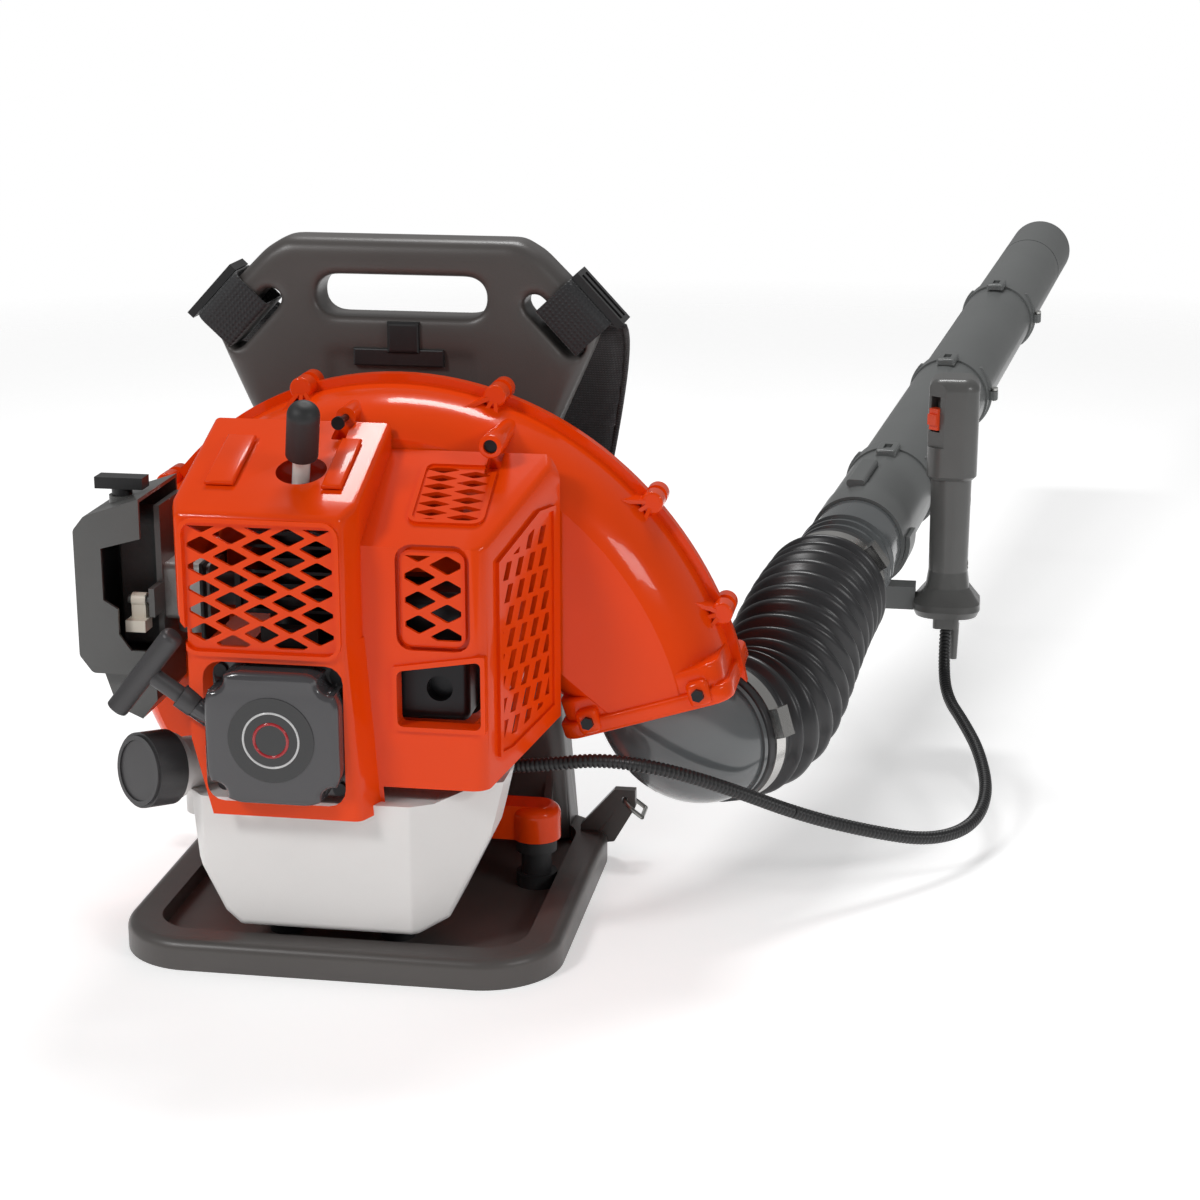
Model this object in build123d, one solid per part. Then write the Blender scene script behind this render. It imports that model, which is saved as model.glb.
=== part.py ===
from build123d import *
from math import atan2, cos, degrees, pi, radians, sin, sqrt, tan
import os

# A petrol backpack leaf blower.  Millimetres, +Z up.  The ground is z = 0, the machine's middle
# plane is x = 0, the engine faces -Y and the wearer's back is on the +Y side.

os.makedirs("parts", exist_ok=True)

# ---- clearances -------------------------------------------------------------------------------
SEAT = 0.3            # gap between curved or soft faces that only rest on each other
RUN = 0.06            # radial gap of a running fit

# ---- carrying frame ---------------------------------------------------------------------------
BASE_W = 310.0        # base tray, left to right
BASE_FRONT = -158.0   # front edge of the tray
BASE_REAR = 139.0     # rear edge of the tray
BASE_CORNER = 55.0    # corner radius in plan
BASE_H = 21.0         # height of the tray's rim
BASE_EDGE = 7.0       # rounding of the rim's outer edge
RIM_W = 24.0          # width of the rim
TRAY_FLOOR = 9.0      # top of the tray's floor
TRAY_WALL = 4.0       # wall of the moulding
BACK_FRONT = 97.0     # front face of the back plate
BACK_DEPTH = 38.0     # depth of the back plate
BACK_WALL = 4.0       # wall of the back plate
BACK_EDGE = 12.0       # rounding of the back plate's front edges
WAIST_W = 226.0       # width at the waist of the back plate
LOBE_W = 290.0        # width across the strap lobes
FRAME_H = 469.0       # height to the top of the carrying handle
HANDLE_W = 128.0      # length of the finger gap
HANDLE_GAP = 30.0     # height of the finger gap
HANDLE_BAR = 27.0     # thickness of the bar over the finger gap
STRAP_W = 44.0        # width of the webbing
STRAP_T = 2.0         # thickness of the webbing
STRAP_SLOT = 16.0     # height of the slots in the lobes
STRAP_SLOT_Z = 408.0  # height of the slots' middle
STRAP_SLOT_X = 113.0  # slots' middle from the middle plane
PAD_T = 24.0          # thickness of the back pad
SHOULDER_T = 13.0     # thickness of a shoulder pad
SHOULDER_W = 64.0
SHOULDER_X = 100.0
STRAP_BOW = 208.0     # radius of the curve in which a shoulder pad hangs
STRAP_INSET = 111.5   # middle of that curve in front of the back plate's rear face
WEB_REACH = 31.0      # how far a webbing loop reaches past its slot
LOWER_WEB_X = 66.0    # lower webbing from the middle plane
LOWER_WEB_Z = 60.0    # its lower end
LOWER_WEB_L = 37.0    # and its length
SLOT_TILT = 47.0      # tilt of the slots
WEB_SHIFT = 5.0       # webbing from the slot's middle, down its slope
SHOULDER_LEAN = 12.0  # how far the shoulder pads lean outwards, in degrees
SHOULDER_ANGLE = 54.8 # half the arc of a shoulder pad, in degrees
EAR_Z = 47.0          # height of the lower strap's eyes
RING_R = 10.5         # middle radius of a strap ring
RING_WIRE = 1.7

# ---- crankshaft axis and fan case -------------------------------------------------------------
CRANK_X = -31.0
CRANK_Z = 168.0
RIM_Y = 30.0          # parting plane of the fan case
FAN_FRONT = -32.0     # front wall of the fan case
FAN_REAR = 80.0       # rear wall of the fan case
FAN_WALL = 3.0
SCROLL_START = 118.0  # scroll radius at the tongue
SCROLL_GROWTH = 190.0 # growth of the radius over a full turn
SCROLL_POWER = 2.25   # how late the scroll opens
TONGUE_ANGLE = -15.0  # angle of the tongue about the crankshaft
SCROLL_TURN = 345.0   # turn of the scroll, tongue to outlet
FLANGE_W = 6.0        # width of the parting flange
FLANGE_T = 4.0        # thickness of each parting flange
BOSS_R = 8.0
BOSS_L = 15.0
BOSS_ANGLES = (96, 60, 30, 11, 133, 175, 215, 262, 305)
SCREW_R = 2.5
SCREW_HEAD_R = 4.6
SCREW_BITE = 9.0      # depth of a screw in the front bosses
OUTLET = (202.0, 157.0)  # centre of the outlet flange in x and z
OUTLET_TILT = 17.5    # the outlet points this far right of straight down
OUTLET_HALF = 53.0    # half the outlet's width
OUTLET_R = 43.5       # bore of the outlet above the elbow's seat
OUTLET_SEAT = 10.0    # how far the elbow goes into the flange
OUTLET_PLATE = 12.0   # outlet flange above the outlet's edge
OUTLET_LIP = 2.0      # and below it
INTAKE_R = 62.0
TONGUE_TIP = (116.0, 178.0)  # the cut-off between the scroll and the outlet
OUTLET_SHIFT = 5.0    # middle of the outlet in front of the parting plane
IMPELLER_R = 106.0
IMPELLER_FRONT = -22.0
IMPELLER_REAR = 52.0
BLADES = 14
BLADE_T = 3.0
HUB_R = 20.0
SHAFT_R = 7.5
MOUNT_X = 114.0       # rubber feet of the fan case, either side
MOUNT_Y = 18.0
MOUNT_R = 15.0
MOUNT_TOP = 46.0
BUFFER_X = 85.0       # rubber buffers behind the fan case
BUFFER_Z = 275.0
BUFFER_R = 13.0
TANK_FOOT = (40.0, -95.0)  # rubber pads under the tank, either side and in y

# ---- engine -----------------------------------------------------------------------------------
CASE_R = 41.0         # crankcase radius
CASE_FRONT = -98.0
CASE_SPLIT = -66.0
BEARING_R = 16.0
BEARING_T = 10.0
BORE_R = 20.0         # 40 mm bore
CYL_R = 25.0
CYL_TOP = 298.0
FIN_W = 70.0
FIN_D = 62.0
FIN_PITCH = 9.0
FIN_T = 2.2
FLY_R = 43.0
FLY_FRONT = -121.0
FLY_REAR = -102.0
CUP_R = 20.0
CUP_FRONT = -127.0
STARTER_FRONT = -160.0
STARTER_REAR = -129.0
STARTER_W = 92.0
STARTER_BASE_W = 92.0
REEL_R = 33.0
REEL_FRONT = -151.0
REEL_REAR = -136.0
ROPE_R = 1.75
PULL_AXIS = (-0.78, -0.14, 0.61)
PLUG_BASE = (-31.0, -76.0, 302.0)
PLUG_AXIS = (0.18, -0.42, 0.889)
THROW = 14.0          # crank throw
PORT_L = 6.0          # how far the ports stand out of the fins
STARTER_Z = 171.0     # middle of the starter case
STARTER_WALL = 3.0
STARTER_SCREW = 40.0  # starter screws from the middle of the case, both ways
ROPE_EXIT = (-87.5, -143.5, 187.0)
HANDLE_STEM = 36.0    # length of the pull grip's stem
PULL_BAR = 68.0       # length of the pull grip's bar
PLUG_CAP_START = 58.0
PLUG_CAP_END = 98.0
MUFFLER_X = 20.0
EXHAUST_Z = 236.0
CLEANER_RIGHT = -130.0

# ---- engine cover -----------------------------------------------------------------------------
COVER_WALL = 3.0
COVER_BACK = -34.0
COVER_LEFT = -98.0
COVER_STEP = 18.0     # right edge of the main front panel
COVER_FRONT = -150.0
COLUMN_FRONT = -128.0 # front of the narrow column beside the main panel
COVER_RIGHT = 103.0
SIDE_RIGHT = 150.0    # where the slanted side meets the fan case
COVER_TOP = 325.0     # top edge of the main front panel
COLUMN_TOP = 303.0
COVER_SLOPE = 0.36
COLUMN_SLOPE = 0.5
COVER_BOTTOM = 112.0
COLUMN_BOTTOM = 130.0
GRILLE_W = 21.0       # one lozenge opening
GRILLE_H = 12.0
GRILLE_PITCH_X = 39.4
GRILLE_PITCH_Z = 16.4
COVER_POSTS = ((98.0, 352.0), (-8.0, 364.0))   # screws at the top of the cover, in x and z
COVER_POST_R = 7.0
COVER_SCREW_Y = -58.0 # front of the cover's screw bosses
WINDOW = (47.0, 104.0, 174.0, 218.0)   # exhaust window: left, right, bottom, top
WINDOW_DEPTH = 15.0

# ---- tank, intake and exhaust -----------------------------------------------------------------
TANK_FRONT = -133.0
TANK_BACK = -58.0
TANK_WALL = 2.5
TANK_BOTTOM = 25.0
TANK_TOP = 119.0
CAP_R = 26.0
CAP_L = 24.0
NECK_R = 19.0
CAP_FACE = (-132.0, -140.0, 137.0)
CAP_AXIS = (-0.59, -0.80, 0.12)
PORT_Z = 248.0        # height of the intake and exhaust ports
CARB_LEFT = -126.0
CLEANER_LEFT = -177.0
CLEANER_FRONT = -118.0
CLEANER_BACK = -37.0
CLEANER_BOTTOM = 198.0
CLEANER_TOP = 312.0
CLEANER_WALL = 2.5
KNOB_AT = (-153.0, -84.0)  # latch on top of the air cleaner, in x and y
KNOB_SEAT = 316.0
CHOKE_AT = (-139.0, -98.0, 246.0)

# ---- elbow, bellows and blow tube -------------------------------------------------------------
ELBOW_R = 47.0
ELBOW_WALL = 3.0
ELBOW_DROP = 46.0     # outlet flange to the elbow's corner
ELBOW_RUN = 70.0      # corner to the elbow's end
ELBOW_BEND = 50.0
ELBOW_AXIS = (0.5, 0.866, 0.0)
TUBE_AXIS = (0.1513, 0.9821, 0.1120)
TUBE_START = (326.3, 444.7, 182.0)   # middle of the lock ring, s = 0 along the tube
UPPER_CLAMP_S = -137.0
CUFF_L = 24.0
CUFF_T = 3.0
RIBS = 13
RIB_NEAR_R = 55.0
RIB_FAR_R = 51.0
HOSE_WALL = 2.5
BAND_T = 1.2
BAND_W = 11.0
PIPE_WALL = 2.2
SPIGOT = 24.0         # how far one pipe goes into the next
JOINTS_S = (-160.0, -40.0, 94.0, 383.0, 675.0)   # where each pipe starts
TUBE_END_S = 995.0
NOZZLE_TIP = 60.0     # straight part at the nozzle's end
PIPE_R = (38.5, 40.0, 38.5, 37.3, 36.3)   # outer radius of each pipe after its collar
PIPE_END_R = (38.0, 36.7, 35.9, 34.9, 35.6)  # and of the spigot at its end
COLLAR_STAND = (0.0, 0.8, 2.6, 2.6, 2.6) # how far its collar stands out
COLLAR_L = 22.0
SLEEVE_L = 38.0       # length of the first, long collar
GRIP = (398.0, 415.0) # middle of the grip in x and y
GRIP_SPLIT = 395.0    # parting plane of the two grip halves
GUARD_BOTTOM = 117.0
GUARD_TOP = 141.0
HEAD_BOTTOM = 236.0
GRIP_TOP = 322.0
GRIP_W = 34.0
GRIP_D = 38.0
HEAD_W = 42.0
HEAD_D = 46.0
SOCKET_BOTTOM = 104.0
TRIGGER_W = 11.0
CONDUIT_R = 5.0

SWITCH_Z = 292.0
TRIGGER_Z = 262.0
GRIP_SCREWS_Z = (160.0, 216.0, 308.0)
RIB_DEPTH = 7.5       # from a rib's tip down to the valley


# ---- helpers ----------------------------------------------------------------------------------
def unit(v):
    n = sqrt(sum(c * c for c in v))
    return tuple(c / n for c in v)


def along(point, axis, distance):
    return tuple(p + a * distance for p, a in zip(point, unit(axis)))


def face_y(y):
    """A drawing plane facing the front, with x and z as its axes."""
    return Plane(origin=(0, y, 0), x_dir=(1, 0, 0), z_dir=(0, -1, 0))


def slab(sketch, y0, y1):
    """A drawing in x and z, made solid from y0 back to y1."""
    return extrude(face_y(y1) * sketch, y1 - y0)


def outline(*points):
    return make_face(Polyline(*points, close=True))


def rod(centre, axis, r, start, end, r_in=0.0):
    """A round bar or tube along an axis, from one distance to another."""
    disc = Circle(r) - Circle(r_in) if r_in else Circle(r)
    plane = Plane(origin=along(centre, axis, start), z_dir=unit(axis))
    return extrude(plane * disc, end - start)


def shaft(r, y0, y1, r_in=0.0):
    """A round bar or tube on the crankshaft axis."""
    return rod((CRANK_X, 0, CRANK_Z), (0, 1, 0), r, y0, y1, r_in)


def turned(points):
    """A profile of radius and height, turned about Z."""
    return revolve(make_face(Plane.XZ * Polyline(*points, close=True)), Axis.Z)


def block(x0, x1, y0, y1, z0, z1):
    return Pos((x0 + x1) / 2, (y0 + y1) / 2, (z0 + z1) / 2) * Box(x1 - x0, y1 - y0, z1 - z0)


def mirrored(solid):
    return mirror(solid, about=Plane.YZ)


NODES = {}


def add(name, *solids):
    NODES[name] = solids[0] if len(solids) == 1 else Compound(children=list(solids))


# ---- carrying frame ---------------------------------------------------------------------------
BASE_D = BASE_REAR - BASE_FRONT
BASE_Y = (BASE_REAR + BASE_FRONT) / 2
BACK_REAR = BACK_FRONT + BACK_DEPTH
GAP_TOP = FRAME_H - HANDLE_BAR
GAP_Z = GAP_TOP - HANDLE_GAP / 2


def base_plan(inset):
    return Pos(0, BASE_Y) * RectangleRounded(BASE_W - 2 * inset, BASE_D - 2 * inset,
                                             BASE_CORNER - inset)


def base_tray():
    tray = extrude(base_plan(0), BASE_H)
    tray = fillet(tray.edges().group_by(Axis.Z)[-1], BASE_EDGE)
    tray -= Pos(0, 0, TRAY_FLOOR) * extrude(base_plan(RIM_W), BASE_H)
    under = extrude(base_plan(TRAY_WALL), TRAY_FLOOR - TRAY_WALL)
    ring = base_plan(TRAY_WALL + 3) - base_plan(RIM_W - TRAY_WALL)
    under += extrude(ring, BASE_H - TRAY_WALL)
    for x in (-BASE_W / 4, 0, BASE_W / 4):
        under -= block(x - 2, x + 2, BASE_FRONT, BASE_REAR, 0, BASE_H)
    return tray - under


def back_profile():
    half = [(0, 12), (BASE_W / 2 - 30, 12), (WAIST_W / 2 + 4, 110), (WAIST_W / 2, 330),
            (LOBE_W / 2 - 2, 396), (LOBE_W / 2, 408), (LOBE_W / 2 - 16, 434),
            (LOBE_W / 2 - 41, 459), (88, FRAME_H), (0, FRAME_H)]
    points = half[1:-1] + [(-x, z) for x, z in reversed(half[1:-1])]
    plate = outline(*points)
    return fillet(plate.vertices().filter_by(lambda v: v.Y > 20), 18)


def back_openings():
    gap = Pos(0, GAP_Z) * RectangleRounded(HANDLE_W, HANDLE_GAP, HANDLE_GAP / 2 - 1)
    slot = RectangleRounded(STRAP_W + 14, STRAP_SLOT, STRAP_SLOT / 2 - 0.5)
    slots = [Pos(s * STRAP_SLOT_X, STRAP_SLOT_Z) * Rot(0, 0, -s * SLOT_TILT) * slot for s in (-1, 1)]
    return gap + slots[0] + slots[1]


def back_plate():
    sheet = back_profile()
    holes = back_openings()
    plate = slab(sheet, BACK_FRONT, BACK_REAR)
    front = plate.edges().group_by(Axis.Y)[0].filter_by(lambda e: e.center().Z > 20)
    plate = fillet(front, BACK_EDGE)
    plate -= slab(holes, BACK_FRONT - 1, BACK_REAR + 1)
    skin = offset(sheet, -BACK_WALL) - offset(holes, BACK_WALL)
    hollow = slab(skin, BACK_FRONT + BACK_WALL + 4, BACK_REAR + 1)
    ribs = [block(-LOBE_W / 2, LOBE_W / 2, BACK_FRONT, BACK_REAR, z - 2, z + 2)
            for z in (68, 120, 230, 340)]
    for rib in ribs:
        hollow -= rib
    recess = slab(Pos(0, 372) * RectangleRounded(112, 30, 6), BACK_FRONT - 1, BACK_FRONT + 3)
    return plate - hollow - recess


def ear_eye(side):
    return (side * (BASE_W / 2 + 12), 100, EAR_Z)


def strap_ear(side):
    """The lug at the rear corner of the tray that carries the lower strap's ring."""
    x, y, z = ear_eye(side)
    ear = outline((BASE_W / 2 - 22, TRAY_FLOOR), (BASE_W / 2 + 4, BASE_H - 8), (abs(x) + 8, z - 6),
                  (abs(x) + 8, z + 8), (abs(x) - 8, z + 8), (BASE_W / 2 - 22, BASE_H + 4))
    body = slab(ear, y - 4, y + 4)
    body = body if side > 0 else mirrored(body)
    return body - rod((x, 0, z), (0, 1, 0), RING_WIRE + 0.9, y - 9, y + 9)


def frame():
    body = base_tray() + back_plate()
    for side in (-1, 1):
        gusset = outline((52, TRAY_FLOOR - 2), (BACK_FRONT + 3, TRAY_FLOOR - 2),
                         (BACK_FRONT + 3, 62))
        x = side * (WAIST_W / 2 - 4)
        web = extrude(Plane(origin=(x, 0, 0), x_dir=(0, 1, 0), z_dir=(1, 0, 0)) * gusset, 3,
                      both=True)
        body += web + strap_ear(side)
    return body



# ---- harness ----------------------------------------------------------------------------------
def back_pad():
    plan = Pos(0, 246) * RectangleRounded(WAIST_W - 40, 256, 30)
    pad = slab(plan, BACK_REAR + SEAT, BACK_REAR + SEAT + PAD_T)
    return fillet(pad.edges().group_by(Axis.Y)[-1], PAD_T / 3)


def shoulder_plane(side):
    """A shoulder pad's plane: y to the rear and an upward direction that leans outwards."""
    a = radians(SHOULDER_LEAN)
    return Plane(origin=(side * SHOULDER_X, BACK_REAR - STRAP_INSET, 250), x_dir=(0, 1, 0),
                 z_dir=(cos(a), 0, -side * sin(a)))


def shoulder_pad(side):
    """A curved pad that hangs from the lobe and bows away from the back plate."""
    arc = Circle(STRAP_BOW) - Circle(STRAP_BOW - SHOULDER_T)
    reach = 2 * STRAP_BOW
    a = radians(SHOULDER_ANGLE)
    wedge = outline((0, 0), (reach * cos(a), -reach * sin(a)), (reach * 1.4, 0),
                    (reach * cos(a), reach * sin(a)))
    section = fillet((arc & wedge).vertices(), SHOULDER_T / 3)
    return extrude(shoulder_plane(side) * section, SHOULDER_W / 2, both=True)


def slot_plane(side):
    """Plane across a lobe: y to the rear and the outward direction square to the lobe's edge."""
    t = radians(SLOT_TILT)
    return Plane(origin=(side * STRAP_SLOT_X, 0, STRAP_SLOT_Z), x_dir=(0, 1, 0),
                 z_dir=(cos(t), 0, -side * sin(t)))


def upper_web(side):
    """Webbing through the lobe's slot and round the lobe's sloping edge."""
    plane = slot_plane(side)
    middle = (BACK_FRONT + BACK_REAR) / 2
    depth = BACK_DEPTH + 2 * SEAT
    inner = Pos(middle, WEB_REACH / 2) * Rectangle(depth, WEB_REACH)
    outer = Pos(middle, WEB_REACH / 2) * Rectangle(depth + 2 * STRAP_T, WEB_REACH + 2 * STRAP_T)
    inner = fillet(inner.vertices().group_by(Axis.Y)[-1].sort_by(Axis.X)[0], 7)
    outer = fillet(outer.vertices().group_by(Axis.Y)[-1].sort_by(Axis.X)[0], 9)
    loop = extrude(plane * (outer - inner), STRAP_W / 2, both=True)
    return loop.moved(Location(plane.z_dir * (side * WEB_SHIFT)))


def strap_buckle(side):
    """A ladder lock: a flat frame with two slots, on the outer run of the webbing."""
    plane = slot_plane(side)
    start = plane.offset(side * (WEB_SHIFT + 3) - 25)
    near = WEB_REACH + STRAP_T + SEAT
    plate = Pos(BACK_REAR - 16, near + 3) * Rectangle(32, 6)
    body = extrude(start * plate, 50)
    for y in (BACK_REAR - 24, BACK_REAR - 10):
        slot = Pos(y, near + 3) * Rectangle(7, 7)
        body -= extrude(plane.offset(side * (WEB_SHIFT + 3) - 21) * slot, 42)
    return body


# ---- fan case ---------------------------------------------------------------------------------
def scroll_r(turn):
    return SCROLL_START + SCROLL_GROWTH * (turn / 360) ** SCROLL_POWER


def scroll_point(turn, rounding=0.0, wall=0.0):
    angle = radians(TONGUE_ANGLE - turn)
    r = scroll_r(turn) - rounding * (0.3 + 0.7 * turn / SCROLL_TURN) - wall
    return (CRANK_X + r * cos(angle), CRANK_Z + r * sin(angle))


def outlet_point(offset_right, offset_out=0.0):
    """A point of the outlet flange: so far to the right, and so far out of the case."""
    t = radians(OUTLET_TILT)
    return (OUTLET[0] + offset_right * cos(t) + offset_out * sin(t),
            OUTLET[1] + offset_right * sin(t) - offset_out * cos(t))


def scroll_face(rounding, wall=0.0):
    """The fan case seen from the front, drawn in for its rounded shoulder and its wall."""
    steps = 15
    points = [scroll_point(SCROLL_TURN * i / steps, rounding, wall) for i in range(steps + 1)]
    curve = Spline(*points)
    half = OUTLET_HALF - rounding - wall
    tongue = (TONGUE_TIP[0] + 0.3 * rounding + 0.4 * wall,
              TONGUE_TIP[1] + 0.6 * rounding + 1.5 * wall)
    edge = Polyline(points[-1], outlet_point(half), outlet_point(-half), tongue, points[0])
    return make_face(curve + edge)


def dome(sections, wall=0.0):
    """A smooth solid through outlines at several depths, each with its own rounding."""
    return loft([face_y(y) * scroll_face(rounding, wall) for y, rounding in sections])


def flange(y0, y1):
    ring = scroll_face(0, -FLANGE_W) - scroll_face(0, FAN_WALL)
    return slab(ring, y0, y1)


def boss_centre(angle):
    turn = (TONGUE_ANGLE - angle) % 360
    r = scroll_r(turn) + FLANGE_W
    return (CRANK_X + r * cos(radians(angle)), CRANK_Z + r * sin(radians(angle)))


def front_boss(angle):
    """A screw boss on the flange with three thin gussets down to the shell."""
    x, z = boss_centre(angle)
    boss = Pos(x, 0, z) * Rot(90, 0, 0) * Cylinder(BOSS_R, BOSS_L)
    boss = Pos(0, RIM_Y - FLANGE_T - BOSS_L / 2, 0) * boss
    boss = fillet(boss.edges().group_by(Axis.Y)[0], 1.5)
    front = RIM_Y - FLANGE_T - BOSS_L
    fin = outline((0, RIM_Y - FLANGE_T), (0, front + 3), (-BOSS_R - 12, front - 12),
                  (-BOSS_R - 12, RIM_Y - FLANGE_T))
    for turn in (-40, 0, 40):
        a = radians(angle + turn)
        plane = Plane(origin=(x, 0, z), x_dir=(cos(a), 0, sin(a)),
                      z_dir=(-sin(a), 0, cos(a)))
        boss += extrude(plane * fin, 1.4, both=True)
    return boss


def rear_boss(angle):
    x, z = boss_centre(angle)
    boss = Pos(x, RIM_Y + FLANGE_T + 6, z) * Rot(90, 0, 0) * Cylinder(BOSS_R, 12)
    return boss


def screw_holes(r, y0, y1):
    holes = None
    for angle in BOSS_ANGLES:
        x, z = boss_centre(angle)
        hole = rod((x, 0, z), (0, 1, 0), r, y0, y1)
        holes = hole if holes is None else holes + hole
    return holes


def outlet_duct(r_out, start, end):
    x, z = outlet_point(0)
    axis = (sin(radians(OUTLET_TILT)), 0, -cos(radians(OUTLET_TILT)))
    return rod((x, RIM_Y - OUTLET_SHIFT, z), axis, r_out, start, end)


def outlet_plate():
    """The thick flange that the elbow hangs from."""
    plate = RectangleRounded(2 * OUTLET_HALF + 6, 2 * OUTLET_HALF - 2, 16)
    t = radians(OUTLET_TILT)
    axis = (sin(t), 0, -cos(t))
    x, z = outlet_point(0, OUTLET_LIP)
    plane = Plane(origin=(x, RIM_Y - OUTLET_SHIFT, z), x_dir=(cos(t), 0, sin(t)), z_dir=axis)
    return extrude(plane * plate, -OUTLET_PLATE - OUTLET_LIP)


def front_lug(side):
    """The foot of the fan case that stands on a rubber mount."""
    x = side * MOUNT_X
    inner = CRANK_X + side * SCROLL_START * 0.55
    foot = block(min(inner, x), max(inner, x), MOUNT_Y - 14, MOUNT_Y + 8, MOUNT_TOP,
                 MOUNT_TOP + 26)
    pad = rod((x, MOUNT_Y - 3, 0), (0, 0, 1), MOUNT_R + 3, MOUNT_TOP, MOUNT_TOP + 26)
    pad = fillet(pad.edges().group_by(Axis.Z)[-1], 8)
    return foot + pad


def rear_half():
    """Everything behind the parting plane."""
    return block(-400, 400, RIM_Y, 200, -50, 500)


def with_pieces(shell, room, pieces):
    """Joins outside pieces to a shell, each kept out of the room inside."""
    return shell + [piece - room for piece in pieces]


def outlet_collar():
    """The outlet flange with the elbow's seat and the smaller bore above it."""
    plate = outlet_plate() - outlet_duct(OUTLET_R, -50, 5)
    return plate - outlet_duct(ELBOW_R + SEAT, -OUTLET_SEAT, 5)


def fan_case_front():
    outer = dome([(RIM_Y, 0), (8, 3), (-14, 12), (FAN_FRONT, 34)])
    inner = dome([(RIM_Y + 1, 0), (8, 3), (-13, 12), (FAN_FRONT + FAN_WALL, 33)], FAN_WALL)
    pieces = [flange(RIM_Y - FLANGE_T, RIM_Y), front_lug(1), front_lug(-1)]
    pieces = [piece - rear_half() for piece in pieces]
    pieces += [front_boss(angle) for angle in BOSS_ANGLES]
    pieces += [rod((x, 0, z), (0, 1, 0), COVER_POST_R, COVER_BACK, 4) for x, z in COVER_POSTS]
    shell = with_pieces(outer - inner, inner, pieces)
    shell += outlet_collar() - rear_half()
    shell -= shaft(BEARING_R + 4, FAN_FRONT - 1, FAN_FRONT + FAN_WALL + 4)
    shell -= screw_holes(SCREW_R + RUN, RIM_Y - SCREW_BITE - 1, RIM_Y + 1)
    for x, z in COVER_POSTS:
        shell -= rod((x, 0, z), (0, 1, 0), SCREW_R + RUN, COVER_BACK - 1, COVER_BACK + 12)
    return shell


def fan_case_rear():
    outer = dome([(RIM_Y, 0), (48, 3), (66, 12), (FAN_REAR, 34)])
    inner = dome([(RIM_Y - 1, 0), (48, 3), (65, 12), (FAN_REAR - FAN_WALL, 33)], FAN_WALL)
    pieces = [flange(RIM_Y, RIM_Y + FLANGE_T)] + [rear_boss(angle) for angle in BOSS_ANGLES]
    shell = with_pieces(outer - inner, inner, pieces)
    shell += outlet_collar() & rear_half()
    shell -= shaft(INTAKE_R, FAN_REAR - FAN_WALL - 4, FAN_REAR + 1)
    return shell - screw_holes(SCREW_R + RUN, RIM_Y - 1, RIM_Y + 30)


def impeller():
    """A back plate, a hub and curved blades."""
    disc = shaft(IMPELLER_R, IMPELLER_FRONT, IMPELLER_FRONT + 3)
    hub = shaft(HUB_R, IMPELLER_FRONT, IMPELLER_REAR - 20)
    blades = None
    for i in range(BLADES):
        turn = Rot(0, 0, 360 * i / BLADES)
        arc = turn * (Pos(30, 46) * (Circle(58 + BLADE_T / 2) - Circle(58 - BLADE_T / 2)))
        zone = turn * (Pos(62, 0) * Rectangle(96, 40))
        blade = arc & zone & (Circle(IMPELLER_R - 1) - Circle(HUB_R - 1))
        blades = blade if blades is None else blades + blade
    blades = slab(Pos(CRANK_X, CRANK_Z) * blades, IMPELLER_FRONT + 2, IMPELLER_REAR)
    wheel = disc + hub + blades
    return wheel - shaft(SHAFT_R, IMPELLER_FRONT - 1, IMPELLER_REAR)


def intake_guard():
    """Rings and spokes over the intake, facing the back plate."""
    y0, y1 = FAN_REAR - FAN_WALL, FAN_REAR + 3
    guard = shaft(INTAKE_R + 8, FAN_REAR, y1, INTAKE_R - 2) + shaft(12, y0, y1)
    for r in (26, 40, 53):
        guard += shaft(r + 1.2, y0 + 1, y1, r - 1.2)
    for i in range(8):
        spoke = Rot(0, 0, 45 * i) * (Pos(INTAKE_R / 2 + 4, 0) * Rectangle(INTAKE_R - 9, 3))
        guard += slab(Pos(CRANK_X, CRANK_Z) * spoke, y0 + 1, y1)
    return guard


def fan_case_screw(angle):
    x, z = boss_centre(angle)
    head_y = RIM_Y + FLANGE_T + 12
    head = rod((x, 0, z), (0, 1, 0), SCREW_HEAD_R, head_y, head_y + 3.5)
    return head + rod((x, 0, z), (0, 1, 0), SCREW_R, RIM_Y - SCREW_BITE, head_y)


def rubber_mounts():
    mounts = []
    for side in (-1, 1):
        centre = (side * MOUNT_X, MOUNT_Y - 3, 0)
        foot = rod(centre, (0, 0, 1), MOUNT_R, TRAY_FLOOR, TRAY_FLOOR + 10)
        neck = rod(centre, (0, 0, 1), MOUNT_R - 4, TRAY_FLOOR + 10, MOUNT_TOP - 10)
        mounts.append(foot + neck + rod(centre, (0, 0, 1), MOUNT_R, MOUNT_TOP - 10, MOUNT_TOP))
        centre = (side * BUFFER_X, 0, BUFFER_Z)
        buffer = rod(centre, (0, 1, 0), BUFFER_R, FAN_REAR, BACK_FRONT)
        mounts.append(buffer)
        mounts.append(rod((TANK_FOOT[0] * side - 4, TANK_FOOT[1], 0), (0, 0, 1), 12, TRAY_FLOOR,
                          TANK_BOTTOM))
    return mounts


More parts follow.
